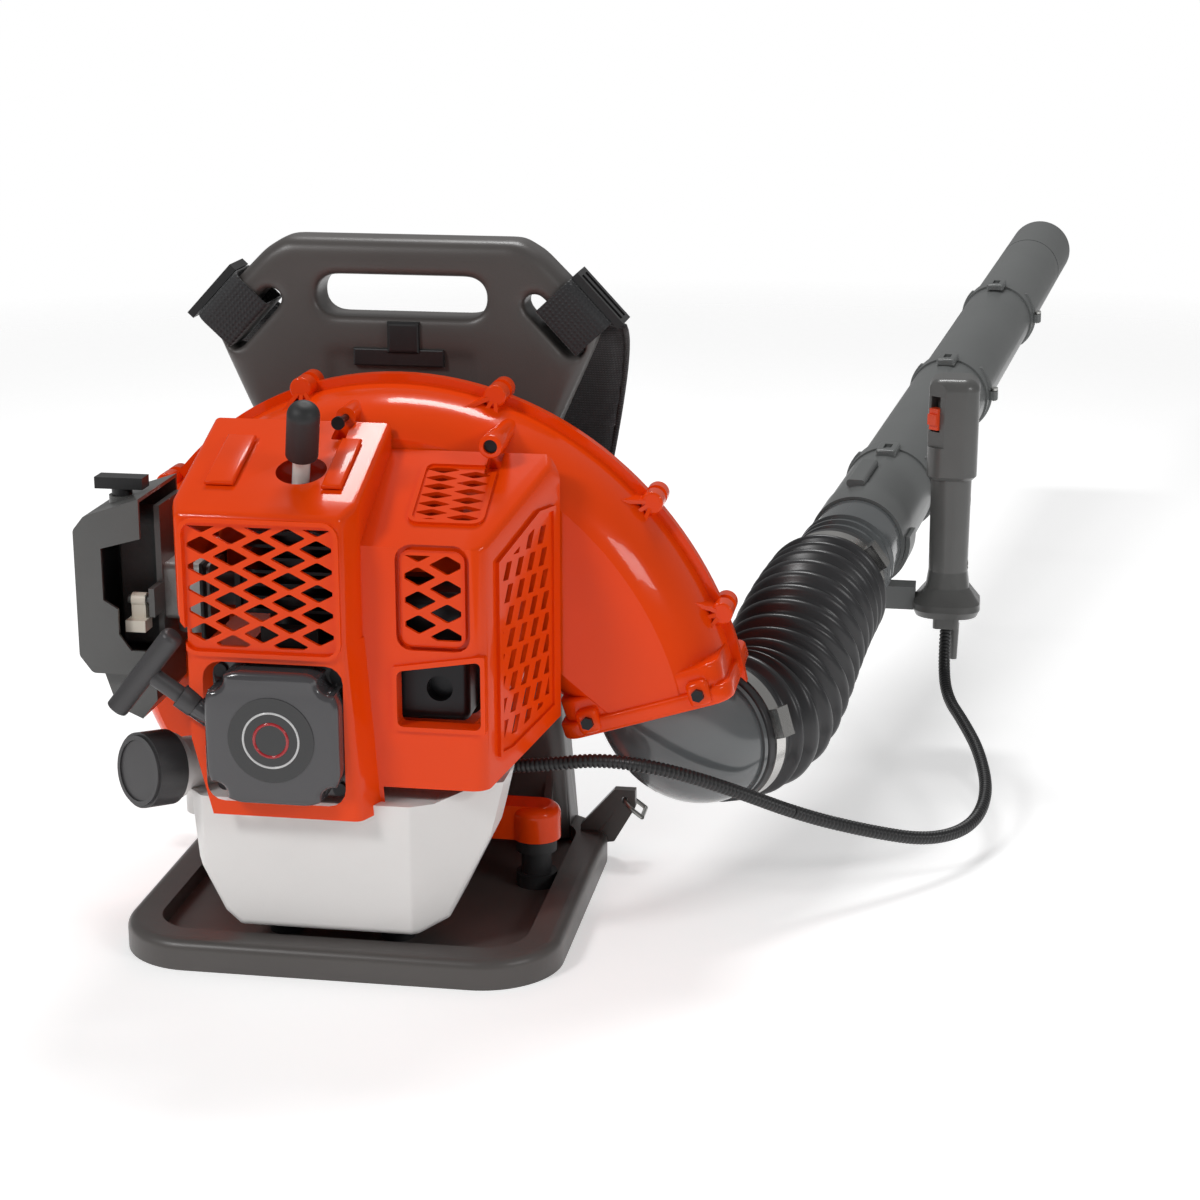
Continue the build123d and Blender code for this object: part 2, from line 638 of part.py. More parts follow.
# ---- engine -----------------------------------------------------------------------------------
def crankcase_half(y0, y1, bearing_y):
    body = shaft(CASE_R, y0, y1)
    body += block(CRANK_X - 34, CRANK_X + 34, y0, y1, CRANK_Z - 46, CRANK_Z)
    body += block(CRANK_X - 31, CRANK_X + 31, y0, y1, CRANK_Z, CRANK_Z + 46)
    body -= shaft(CASE_R - 12, max(y0 + 8, CASE_SPLIT - 16), min(y1 - 8, CASE_SPLIT + 16))
    room = shaft(CASE_R - 12, CASE_SPLIT - 16, CASE_SPLIT + 16)
    barrel = rod((CRANK_X, CASE_SPLIT, 0), (0, 0, 1), CYL_R + SEAT, CRANK_Z, CRANK_Z + 60)
    body -= room + barrel
    body -= shaft(BEARING_R, bearing_y, bearing_y + BEARING_T)
    return body - shaft(SHAFT_R + 2, y0 - 1, y1 + 1)


def crankcase_front():
    return crankcase_half(CASE_FRONT, CASE_SPLIT, CASE_FRONT + 4)


def crankcase_rear():
    half = crankcase_half(CASE_SPLIT, FAN_FRONT - SEAT, FAN_FRONT - SEAT - 4 - BEARING_T)
    feet = [rod((CRANK_X + x, 0, CRANK_Z + z), (0, 1, 0), 8, FAN_FRONT - 22, FAN_FRONT)
            for x in (-30, 30) for z in (-28, 30)]
    for foot in feet:
        half += foot
    return half - shaft(SHAFT_R + 2, CASE_SPLIT, FAN_FRONT + 1)


def bearing(y0):
    """Two races with a cage between them."""
    outer = shaft(BEARING_R, y0, y0 + BEARING_T, BEARING_R - 3)
    inner = shaft(SHAFT_R + 3, y0, y0 + BEARING_T, SHAFT_R + RUN)
    cage = shaft(BEARING_R - 3, y0 + 2, y0 + BEARING_T - 2, SHAFT_R + 3)
    return outer + inner + cage


def cylinder():
    """The barrel, its cooling fins, the head and the two ports."""
    axis_at = (CRANK_X, CASE_SPLIT, 0)
    barrel = rod(axis_at, (0, 0, 1), CYL_R, CRANK_Z + 36, CYL_TOP)
    base = block(CRANK_X - 31, CRANK_X + 31, CASE_SPLIT - 30, CASE_SPLIT + 30, CRANK_Z + 46,
                 CRANK_Z + 51)
    body = barrel + base
    count = int((CYL_TOP - CRANK_Z - 60) / FIN_PITCH)
    for i in range(count):
        z = CYL_TOP - 2 - i * FIN_PITCH
        fin = Pos(CRANK_X, CASE_SPLIT, z) * Box(FIN_W, FIN_D, FIN_T)
        body += fillet(fin.edges().filter_by(Axis.Z), 12)
    body += block(CRANK_X - FIN_W / 2 - PORT_L, CRANK_X, CASE_SPLIT - 15, CASE_SPLIT + 15,
                  PORT_Z - 13, PORT_Z + 13)
    body += block(CRANK_X, MUFFLER_X, CASE_SPLIT - 14, CASE_SPLIT + 14, EXHAUST_Z - 12,
                  EXHAUST_Z + 12)
    body += rod(PLUG_BASE, PLUG_AXIS, 11, -14, 0)
    body -= rod(axis_at, (0, 0, 1), BORE_R, CRANK_Z + 30, CYL_TOP - 8)
    return body


PISTON_TOP = CYL_TOP - 9.5


def piston():
    at = (CRANK_X, CASE_SPLIT, 0)
    body = rod(at, (0, 0, 1), BORE_R - RUN, PISTON_TOP - 34, PISTON_TOP)
    body -= rod(at, (0, 0, 1), BORE_R - 4, PISTON_TOP - 35, PISTON_TOP - 5)
    pin = rod((CRANK_X, CASE_SPLIT, PISTON_TOP - 18), (0, 1, 0), 5, -BORE_R + 2, BORE_R - 2)
    return body + pin


def connecting_rod():
    top = rod((CRANK_X, CASE_SPLIT, PISTON_TOP - 18), (0, 1, 0), 9, -5, 5)
    big = rod((CRANK_X, CASE_SPLIT, CRANK_Z + THROW), (0, 1, 0), 12, -5, 5)
    shank = block(CRANK_X - 4.5, CRANK_X + 4.5, CASE_SPLIT - 3, CASE_SPLIT + 3,
                  CRANK_Z + THROW, PISTON_TOP - 18)
    link = top + big + shank
    link -= rod((CRANK_X, CASE_SPLIT, PISTON_TOP - 18), (0, 1, 0), 5 + RUN, -9, 9)
    return link - rod((CRANK_X, CASE_SPLIT, CRANK_Z + THROW), (0, 1, 0), 7 + RUN, -9, 9)


def crank_throw():
    """Two webs with counterweights and the crank pin between them."""
    pin = rod((CRANK_X, CASE_SPLIT, CRANK_Z + THROW), (0, 1, 0), 7, -12, 12)
    for y0 in (CASE_SPLIT - 13, CASE_SPLIT + 6):
        web = Circle(CASE_R - 14) & Pos(0, -10) * Rectangle(60, 40)
        web += Pos(0, THROW / 2) * Rectangle(22, THROW + 10)
        pin += slab(Pos(CRANK_X, CRANK_Z) * web, y0, y0 + 7)
    return pin


def crankshaft_end(y0, y1):
    return shaft(SHAFT_R, y0, y1)


def flywheel():
    """A rim with fan blades on its front and a magnet boss, bored for the shaft."""
    wheel = shaft(FLY_R, FLY_REAR - 7, FLY_REAR)
    wheel += shaft(CUP_R - 4, FLY_FRONT, FLY_REAR)
    for i in range(12):
        blade = Rot(0, 0, 30 * i) * (Pos((FLY_R + CUP_R) / 2 - 3, 0) * Rot(0, 0, 25) *
                                     Rectangle(FLY_R - CUP_R + 2, 2.4))
        wheel += slab(Pos(CRANK_X, CRANK_Z) * blade, FLY_FRONT + 2, FLY_REAR - 6)
    return wheel - shaft(SHAFT_R + RUN, FLY_FRONT - 1, FLY_REAR + 1)


def starter_cup():
    cup = shaft(CUP_R, CUP_FRONT, FLY_FRONT, CUP_R - 3) + shaft(CUP_R, FLY_FRONT - 2, FLY_FRONT)
    return cup - shaft(SHAFT_R + RUN, CUP_FRONT - 1, FLY_FRONT + 1)


def starter_outline(width, inset):
    """A square with broad corners, dented at each corner for its screw."""
    half = width / 2
    plate = RectangleRounded(width - 2 * inset, width - 2 * inset, 26)
    for sx in (-1, 1):
        for sz in (-1, 1):
            plate -= Pos(sx * (half - 5), sz * (half - 5)) * Circle(9 + inset)
    return Pos(CRANK_X, STARTER_Z) * plate


def starter_case():
    """The recoil starter's cover: a backing plate and a domed eight-sided body."""
    plate = Pos(CRANK_X, STARTER_Z) * RectangleRounded(STARTER_BASE_W, STARTER_BASE_W, 10)
    body = slab(plate, STARTER_REAR - 7, STARTER_REAR)
    raised = slab(starter_outline(STARTER_W, 0), STARTER_FRONT, STARTER_REAR - 3)
    raised = fillet(raised.edges().group_by(Axis.Y)[0], 4)
    body += raised
    eyelet = rod(ROPE_EXIT, PULL_AXIS, 8, -22, 0)
    body += eyelet
    body -= shaft(REEL_R + 4, STARTER_FRONT + STARTER_WALL, STARTER_REAR + 1)
    body -= rod(ROPE_EXIT, PULL_AXIS, ROPE_R + 1, -30, 1)
    body += shaft(5, STARTER_FRONT + 1, REEL_REAR + 2)
    for sx in (-1, 1):
        for sz in (-1, 1):
            x, z = CRANK_X + sx * STARTER_SCREW, STARTER_Z + sz * STARTER_SCREW
            body -= rod((x, 0, z), (0, 1, 0), SCREW_R + RUN, STARTER_REAR - 9, STARTER_REAR + 1)
    return body


def starter_screw(sx, sz):
    x, z = CRANK_X + sx * STARTER_SCREW, STARTER_Z + sz * STARTER_SCREW
    head = rod((x, 0, z), (0, 1, 0), SCREW_HEAD_R, STARTER_REAR - 10, STARTER_REAR - 7)
    return head + rod((x, 0, z), (0, 1, 0), SCREW_R, STARTER_REAR - 7, STARTER_REAR + 6)


def starter_reel():
    reel = shaft(REEL_R, REEL_FRONT, REEL_FRONT + 3) + shaft(REEL_R, REEL_REAR - 3, REEL_REAR)
    reel += shaft(REEL_R - 7, REEL_FRONT, REEL_REAR)
    return reel - shaft(5 + RUN, REEL_FRONT - 1, REEL_REAR + 1)


def recoil_spring():
    """The flat coil spring in front of the reel."""
    y0, y1 = STARTER_FRONT + STARTER_WALL + 0.5, REEL_FRONT - 0.5
    rings = [shaft(r + 0.6, y0, y1, r - 0.6) for r in (10, 14, 18, 22, 26)]
    bar = block(CRANK_X + 9, CRANK_X + 27, y0 + 1, y1 - 1, CRANK_Z - 0.6, CRANK_Z + 0.6)
    spring = bar
    for ring in rings:
        spring += ring
    return spring


def starter_handle():
    """A T-shaped pull grip on the end of the rope."""
    end = along(ROPE_EXIT, PULL_AXIS, SEAT)
    stem = rod(end, PULL_AXIS, 8.5, 0, 12) + rod(end, PULL_AXIS, 6, 10, HANDLE_STEM)
    across = (PULL_AXIS[2], 0, -PULL_AXIS[0])
    centre = along(end, PULL_AXIS, HANDLE_STEM + 4)
    bar = Plane(origin=along(centre, across, -PULL_BAR / 2), x_dir=(0, 1, 0), z_dir=across)
    body = extrude(bar * RectangleRounded(17, 15, 7), PULL_BAR)
    body = fillet(body.edges().group_by(Axis(centre, across))[-1], 4)
    return stem + body


def spark_plug():
    body = rod(PLUG_BASE, PLUG_AXIS, 7, 0, 14) + rod(PLUG_BASE, PLUG_AXIS, 10, 6, 14)
    return body + rod(PLUG_BASE, PLUG_AXIS, 6, 14, PLUG_CAP_START)


def spark_plug_cap():
    start = PLUG_CAP_START - 2
    cap = rod(PLUG_BASE, PLUG_AXIS, 11, start, PLUG_CAP_END)
    cap = fillet(cap.edges().sort_by(Axis(PLUG_BASE, PLUG_AXIS))[-1], 9)
    return cap - rod(PLUG_BASE, PLUG_AXIS, 6 + SEAT, start - 1, PLUG_CAP_START + 0.2)


def ignition_coil():
    y0, y1 = FLY_REAR - 7, CASE_FRONT
    core = block(CRANK_X - 20, CRANK_X + 20, y0, y1, CRANK_Z + FLY_R + 10, CRANK_Z + FLY_R + 22)
    core += block(CRANK_X - 20, CRANK_X + 20, y1 - 2.5, y1, CRANK_Z + FLY_R - 9,
                  CRANK_Z + FLY_R + 12)
    for x in (-16, 16):
        core += block(CRANK_X + x - 4, CRANK_X + x + 4, y0, y1, CRANK_Z + FLY_R + 1,
                      CRANK_Z + FLY_R + 12)
    return core


def muffler():
    """A pressed box on the exhaust port with its tail hole facing the cover's window."""
    front = CASE_SPLIT - 42
    box = block(MUFFLER_X, MUFFLER_X + 72, front, CASE_SPLIT + 18, 172, 262)
    box = fillet(box.edges().filter_by(Axis.X), 8)
    box = fillet(box.edges().group_by(Axis.X)[-1], 6)
    box -= rod((MUFFLER_X + 52, front - 1, 196), (0, 1, 0), 9, 0, 12)
    seam = block(MUFFLER_X + 1, MUFFLER_X + 75, front + 30, front + 32, 169, 265)
    return box + fillet(seam.edges().filter_by(Axis.Y), 9)


def intake_manifold():
    x1 = CRANK_X - FIN_W / 2 - PORT_L
    body = rod((0, CASE_SPLIT, PORT_Z), (1, 0, 0), 12, CARB_LEFT + 32, x1 - 3)
    body += block(x1 - 4, x1, CASE_SPLIT - 18, CASE_SPLIT + 18, PORT_Z - 15, PORT_Z + 15)
    return body - rod((0, CASE_SPLIT, PORT_Z), (1, 0, 0), 8, CARB_LEFT + 30, x1 + 1)


def carburettor():
    body = block(CARB_LEFT, CARB_LEFT + 32, CASE_SPLIT - 18, CASE_SPLIT + 18, PORT_Z - 20,
                 PORT_Z + 20)
    body = fillet(body.edges().filter_by(Axis.X), 5)
    bowl = rod((CARB_LEFT + 16, CASE_SPLIT, 0), (0, 0, 1), 13, PORT_Z - 30, PORT_Z - 18)
    body += bowl
    return body - rod((0, CASE_SPLIT, PORT_Z), (1, 0, 0), 8, CARB_LEFT - 1, CARB_LEFT + 33)


# ---- air cleaner ------------------------------------------------------------------------------
def cleaner_profile(inset):
    """The air cleaner from the front, with its lower corner cut."""
    i = inset
    return outline((CLEANER_LEFT + i, CLEANER_BOTTOM + 12 + 0.4 * i),
                   (CLEANER_LEFT + 9 + 0.6 * i, CLEANER_BOTTOM + i),
                   (CLEANER_RIGHT, CLEANER_BOTTOM + i), (CLEANER_RIGHT, CLEANER_TOP + 9 - i),
                   (CLEANER_LEFT + 8 + 0.4 * i, CLEANER_TOP - 4 - i),
                   (CLEANER_LEFT + i, CLEANER_TOP - 14 - 0.6 * i))


def air_cleaner_cover():
    body = slab(cleaner_profile(0), CLEANER_FRONT, CLEANER_BACK)
    body = fillet(body.edges().filter_by(Axis.Y).sort_by(Axis.X)[:4], 5)
    room = slab(cleaner_profile(CLEANER_WALL), CLEANER_FRONT + CLEANER_WALL,
                CLEANER_BACK - CLEANER_WALL)
    body -= room
    window = outline((-158, 286), (CLEANER_RIGHT + 1, 294), (CLEANER_RIGHT + 1, 215),
                     (-140, 215), (-148, 226), (-148, 244), (-158, 250))
    body -= slab(window, CLEANER_FRONT - 1, CLEANER_FRONT + CLEANER_WALL + 1)
    x, y = KNOB_AT
    body += rod((x, y, 0), (0, 0, 1), 9, KNOB_SEAT - 8, KNOB_SEAT)
    return body - rod((x, y, 0), (0, 0, 1), 3 + RUN, KNOB_SEAT - 9, KNOB_SEAT + 1)


def air_cleaner_base():
    x0, x1 = CLEANER_RIGHT, CARB_LEFT
    body = block(x0, x1, CLEANER_FRONT + 30, CLEANER_BACK - 4, CLEANER_BOTTOM + 4,
                 CLEANER_TOP - 2)
    skirt = outline((CLEANER_LEFT + 14, CLEANER_BOTTOM - 1), (CLEANER_LEFT + 22, CLEANER_BOTTOM - 26),
                    (CLEANER_LEFT + 40, CLEANER_BOTTOM - 34), (x1, CLEANER_BOTTOM - 20),
                    (x1, CLEANER_BOTTOM - 1))
    body += slab(skirt, CLEANER_FRONT + 8, CLEANER_BACK - 10)
    x, y, z = CHOKE_AT
    body += block(x0, x1, y - 8, CLEANER_FRONT + 32, z - 10, z + 10)
    body += rod(CHOKE_AT, (1, 0, 0), 3, -8, x0 + 1 - x)
    body += block(x0, x1, CLEANER_FRONT + 30, CLEANER_BACK - 10, CLEANER_BOTTOM - 2,
                  CLEANER_BOTTOM + 5)
    return body - rod((0, CASE_SPLIT, PORT_Z), (1, 0, 0), 8, x0 - 1, x1 + 1)


def air_filter():
    x0 = CLEANER_LEFT + 20
    pad = block(x0, CLEANER_RIGHT - SEAT, CLEANER_FRONT + 36, CLEANER_BACK - 8,
                CLEANER_BOTTOM + 10, CLEANER_TOP - 10)
    return fillet(pad.edges().filter_by(Axis.X), 8)


def cleaner_knob():
    """The turning latch on top of the air cleaner, with its stud."""
    x, y = KNOB_AT
    knob = rod((x, y, 0), (0, 0, 1), 7, KNOB_SEAT + SEAT, KNOB_SEAT + 6)
    knob += Pos(x, y, KNOB_SEAT + 9) * Box(34, 14, 8)
    return knob + rod((x, y, 0), (0, 0, 1), 3, KNOB_SEAT - 7, KNOB_SEAT + 2)


def choke_lever():
    """A lever with a knob, on a stub shaft of the air cleaner's base."""
    x, y, z = CHOKE_AT
    lever = block(x - 5, x + 5, y - 4, y + 2, z - 20, z + 4)
    lever += block(x - 7, x + 7, y - 12, y + 2, z - 20, z - 12)
    lever += rod(CHOKE_AT, (1, 0, 0), 5, -5, 5)
    return lever - rod(CHOKE_AT, (1, 0, 0), 3 + RUN, -9, 9)


# ---- engine cover -----------------------------------------------------------------------------
def main_block(w, past=0.0):
    """The wide front part of the cover, drawn in by w and run past its open sides."""
    back, bottom = COVER_BACK + past, COVER_BOTTOM - past
    plan = outline((COVER_LEFT - 7 + w, back), (COVER_LEFT - 7 + w, COVER_FRONT + 20),
                   (COVER_LEFT + 1 + w, COVER_FRONT + w), (COVER_STEP - w, COVER_FRONT + w),
                   (COVER_STEP + 9 - w, COLUMN_FRONT + w), (COVER_STEP + 9 - w, back))
    plan = plan if w else fillet(plan.vertices().filter_by(lambda v: v.Y < COLUMN_FRONT - 5), 6)
    front = outline((COVER_LEFT - 7 + w, 430), (COVER_LEFT - 7 + w, 262), (COVER_LEFT + 8 + w, 242),
                    (COVER_LEFT + 13 + w, 205), (COVER_LEFT + 28 + w, bottom),
                    (COVER_STEP + 18 - w, bottom), (COVER_STEP + 9 - w, 235),
                    (COVER_STEP + 9 - w, 430))
    rise = COVER_SLOPE * (COVER_BACK - COVER_FRONT - 8)
    over_tank = TANK_TOP + 4 - past
    side = outline((back, over_tank), (TANK_FRONT - 3, over_tank), (TANK_FRONT - 3, bottom),
                   (COVER_FRONT + w, bottom), (COVER_FRONT + w, COVER_TOP - 7 - w),
                   (COVER_FRONT + 8 + w, COVER_TOP - w), (back, COVER_TOP + rise - w))
    return blend_of(plan, front, side)


def column_block(w, past=0.0):
    """The narrow column and the slanted side next to the main front panel."""
    back, bottom = COVER_BACK + past, COLUMN_BOTTOM - past
    plan = outline((COVER_STEP - 6, back), (COVER_STEP - 6, COLUMN_FRONT + w),
                   (COVER_RIGHT - 4 - w, COLUMN_FRONT + w), (COVER_RIGHT + 8 - w, COLUMN_FRONT + 9),
                   (SIDE_RIGHT - 5 - w, COVER_BACK), (SIDE_RIGHT - 5 - w, back + 0.1))
    front = outline((COVER_STEP - 6, bottom), (COVER_RIGHT + 5, bottom),
                    (SIDE_RIGHT - w, COLUMN_BOTTOM + 33 - past), (SIDE_RIGHT - w, 318),
                    (SIDE_RIGHT - 16 - w, 350 - w), (COVER_STEP - 6, 360 - w))
    rise = COLUMN_SLOPE * (COVER_BACK - COLUMN_FRONT - 8)
    side = outline((back, bottom), (COLUMN_FRONT + w, bottom),
                   (COLUMN_FRONT + w, COLUMN_TOP - 7 - w), (COLUMN_FRONT + 8 + w, COLUMN_TOP - w),
                   (back, COLUMN_TOP + rise - w))
    return blend_of(plan, front, side)


def blend_of(plan, front, side):
    """The solid that has the three given outlines from above, the front and the side."""
    body = extrude(plan, 500)
    body &= slab(front, -300, 300)
    across = Plane(origin=(-300, 0, 0), x_dir=(0, 1, 0), z_dir=(1, 0, 0))
    return body & extrude(across * side, 600)


def lozenge(w, h):
    return outline((-w / 2, -0.13 * h), (0, -h / 2), (w / 2, -0.13 * h), (w / 2, 0.13 * h),
                   (0, h / 2), (-w / 2, 0.13 * h))


def lozenge_grid(width, height, columns, rows):
    """Lozenges in staggered rows, cut off by the panel's edge."""
    cells = None
    for i in range(rows):
        z = (i - (rows - 1) / 2) * GRILLE_PITCH_Z / 2
        for j in range(columns + i % 2):
            x = (j - (columns - 1 + i % 2) / 2) * GRILLE_PITCH_X
            cell = Pos(x, z) * lozenge(GRILLE_W, GRILLE_H)
            cells = cell if cells is None else cells + cell
    return cells & Rectangle(width, height)


def sunk_panel(shell, plane, width, height, corner, cells, depth=4.0):
    """Opens the wall and sets a grille panel back from it."""
    opening = RectangleRounded(width, height, corner)
    shell -= extrude(plane * opening, COVER_WALL + 2, both=True)
    frame_ring = RectangleRounded(width + 2 * COVER_WALL, height + 2 * COVER_WALL,
                                  corner + COVER_WALL)
    set_back = plane.offset(-depth - COVER_WALL)
    shell += extrude(set_back * (frame_ring - opening), depth + COVER_WALL - 0.5)
    shell += extrude(set_back * (frame_ring - cells), COVER_WALL)
    return shell


def main_grille_plane():
    x = (COVER_LEFT + COVER_STEP) / 2
    return Plane(origin=(x, COVER_FRONT, 279), x_dir=(1, 0, 0), z_dir=(0, -1, 0))


def column_grille_plane():
    return Plane(origin=(74, COLUMN_FRONT, 274), x_dir=(1, 0, 0), z_dir=(0, -1, 0))


def side_plane():
    """The plane of the slanted side, with its origin at the middle of its grille."""
    near = (COVER_RIGHT + 8, COLUMN_FRONT + 9)
    far = (SIDE_RIGHT - 5, COVER_BACK)
    run = sqrt((far[0] - near[0]) ** 2 + (far[1] - near[1]) ** 2)
    u = ((far[0] - near[0]) / run, (far[1] - near[1]) / run, 0)
    middle = ((near[0] + far[0]) / 2, (near[1] + far[1]) / 2, 232)
    return Plane(origin=middle, x_dir=u, z_dir=(u[1], -u[0], 0))


def side_slots():
    slots = None
    for i in range(8):
        z = (i - 3.5) * 15.5
        for j in range(4):
            x = (j - 1.5) * 14
            cell = make_face(Polyline((-4.5, -5.5), (2, -5.5), (4.5, 5.5), (-2, 5.5), close=True))
            slot = Pos(x, z) * cell
            slots = slot if slots is None else slots + slot
    return slots


def roof_plane():
    """The sloping roof of the column, with its origin at the middle of its grille."""
    y = (COLUMN_FRONT + COVER_BACK) / 2 - 2
    z = COLUMN_TOP + COLUMN_SLOPE * (y - COLUMN_FRONT - 8)
    n = sqrt(1 + COLUMN_SLOPE ** 2)
    return Plane(origin=(70, y, z), x_dir=(1, 0, 0), z_dir=(0, -COLUMN_SLOPE / n, 1 / n))


def roof_slots():
    slots = None
    for i in range(7):
        for j in range(2):
            cell = Pos((j - 0.5) * 21 + (i % 2) * 5 - 2.5, (i - 3) * 8) * lozenge(18, 6)
            slots = cell if slots is None else slots + cell
    return slots


def engine_cover():
    shell = main_block(0) + column_block(0)
    shell -= main_block(COVER_WALL, 20) + column_block(COVER_WALL, 20)
    shell = sunk_panel(shell, main_grille_plane(), 104, 92, 8, lozenge_grid(98, 86, 4, 11))
    shell = sunk_panel(shell, column_grille_plane(), 46, 62, 7, lozenge_grid(40, 56, 2, 7))
    shell -= extrude(side_plane() * side_slots(), 8, both=True)
    shell -= extrude(roof_plane() * roof_slots(), 8, both=True)
    x0, x1, z0, z1 = WINDOW
    hole = Pos((x0 + x1) / 2, (z0 + z1) / 2) * RectangleRounded(x1 - x0, z1 - z0, 4)
    lip = offset(hole, 2.5)
    shell += slab(lip, COLUMN_FRONT, COLUMN_FRONT + WINDOW_DEPTH)
    shell -= slab(hole, COLUMN_FRONT - 2, COLUMN_FRONT + WINDOW_DEPTH + 1)
    port = Pos(CRANK_X - 2.5, STARTER_Z) * RectangleRounded(STARTER_W + 8, STARTER_W + 6, 12)
    shell -= slab(port, COVER_FRONT - 1, STARTER_REAR + 8)
    shell -= rod(ROPE_EXIT, PULL_AXIS, 10, -30, 50)
    shell -= rod(PLUG_BASE, PLUG_AXIS, 17, 12, 100)
    carb = block(COVER_LEFT - 20, COVER_LEFT + 17, CASE_SPLIT - 26, COVER_BACK + 1, PORT_Z - 34,
                 PORT_Z + 24)
    shell -= carb
    for x, z in COVER_POSTS:
        shell += rod((x, 0, z), (0, 1, 0), COVER_POST_R + 1, COVER_SCREW_Y, COVER_BACK)
        shell -= rod((x, 0, z), (0, 1, 0), SCREW_R + RUN, COVER_SCREW_Y - 1, COVER_BACK + 1)
        shell -= rod((x, 0, z), (0, 1, 0), SCREW_HEAD_R + SEAT, COVER_SCREW_Y - 40,
                     COVER_SCREW_Y + 6)
    return shell


def cover_screw(x, z):
    seat = COVER_SCREW_Y + 6
    head = rod((x, 0, z), (0, 1, 0), SCREW_HEAD_R, seat - 3, seat)
    return head + rod((x, 0, z), (0, 1, 0), SCREW_R, seat, COVER_BACK + 10)


# ---- fuel tank --------------------------------------------------------------------------------
def tank_block(w):
    plan = outline((-103 + w, TANK_BACK - w), (-103 + w, TANK_FRONT + 14), (-90 + w, TANK_FRONT + w),
                   (55 - w, TANK_FRONT + w), (114 - w, TANK_FRONT + 36), (114 - w, TANK_BACK - w))
    front = outline((-102 + w, TANK_TOP - w), (-95 + w, 72), (-77 + w, TANK_BOTTOM + 10 + w),
                    (-66 + w, TANK_BOTTOM + w), (58 - w, TANK_BOTTOM + w),
                    (78 - w, TANK_BOTTOM + 9 + w), (104 - w, 88), (113 - w, TANK_TOP + 9 - w),
                    (96 - w, TANK_TOP + 9 - w), (70, TANK_TOP - w))
    body = extrude(plan, 300) & slab(front, -300, 300)
    return body


def fuel_tank():
    body = tank_block(0)
    body = fillet(body.edges().filter_by(lambda e: e.center().Z < TANK_TOP - 12), 5)
    shoulder = rod((-99, -98, 0), (0, 0, 1), 13, 96, 138)
    base = along(CAP_FACE, CAP_AXIS, -CAP_L)
    neck = rod(base, CAP_AXIS, NECK_R, -22, 14) + rod(base, CAP_AXIS, NECK_R + 4, -6, -SEAT)
    body += shoulder + neck
    body -= tank_block(TANK_WALL)
    body -= rod((-99, -98, 0), (0, 0, 1), 10.5, 94, 135)
    return body - rod(base, CAP_AXIS, NECK_R - 3, -17, 15)


def fuel_cap():
    """A cap with twelve flats and a sunk round face."""
    base = along(CAP_FACE, CAP_AXIS, -CAP_L)
    plane = Plane(origin=base, z_dir=unit(CAP_AXIS))
    cap = extrude(plane * RegularPolygon(CAP_R + 0.8, 12), CAP_L - 2)
    cap = cap & rod(base, CAP_AXIS, CAP_R, 0, CAP_L)
    cap += rod(base, CAP_AXIS, CAP_R - 2, CAP_L - 3, CAP_L)
    cap -= rod(base, CAP_AXIS, CAP_R - 5, CAP_L - 1.2, CAP_L + 1, 0)
    return cap - rod(base, CAP_AXIS, NECK_R + SEAT, -1, 14 + SEAT)


# ---- elbow, bellows and their clamps ----------------------------------------------------------
ELBOW_START = (outlet_point(0, -OUTLET_SEAT)[0], RIM_Y - OUTLET_SHIFT,
               outlet_point(0, -OUTLET_SEAT)[1])
OUTLET_AXIS = (sin(radians(OUTLET_TILT)), 0, -cos(radians(OUTLET_TILT)))
ELBOW_CORNER = along(ELBOW_START, OUTLET_AXIS, ELBOW_DROP + OUTLET_SEAT)
ELBOW_END = along(ELBOW_CORNER, ELBOW_AXIS, ELBOW_RUN)
UPPER_CLAMP = along(TUBE_START, TUBE_AXIS, UPPER_CLAMP_S)


def swept(path, start, axis, r):
    plane = Plane(origin=start, z_dir=unit(axis))
    return sweep(plane * Circle(r), path=path)


def elbow():
    path = FilletPolyline(ELBOW_START, ELBOW_CORNER, ELBOW_END, radius=ELBOW_BEND)
    body = swept(path, ELBOW_START, OUTLET_AXIS, ELBOW_R)
    body -= swept(path, ELBOW_START, OUTLET_AXIS, ELBOW_R - ELBOW_WALL)
    bead = rod(ELBOW_END, ELBOW_AXIS, ELBOW_R + 2, -CUFF_L - 5, -CUFF_L - 1, ELBOW_R - 1)
    return body + bead


def hose_path():
    """The middle line of the bellows, from the elbow's end to the upper clamp."""
    a = along(ELBOW_END, ELBOW_AXIS, -CUFF_L)
    b = along(ELBOW_END, ELBOW_AXIS, 46)
    c = along(UPPER_CLAMP, TUBE_AXIS, -96)
    d = along(UPPER_CLAMP, TUBE_AXIS, CUFF_L / 2 + 4)
    return FilletPolyline(a, b, c, d, radius=(70, 150))


def hose_section(path, s, r):
    t = s / path.length
    return Plane(origin=path @ t, z_dir=path % t) * Circle(r)


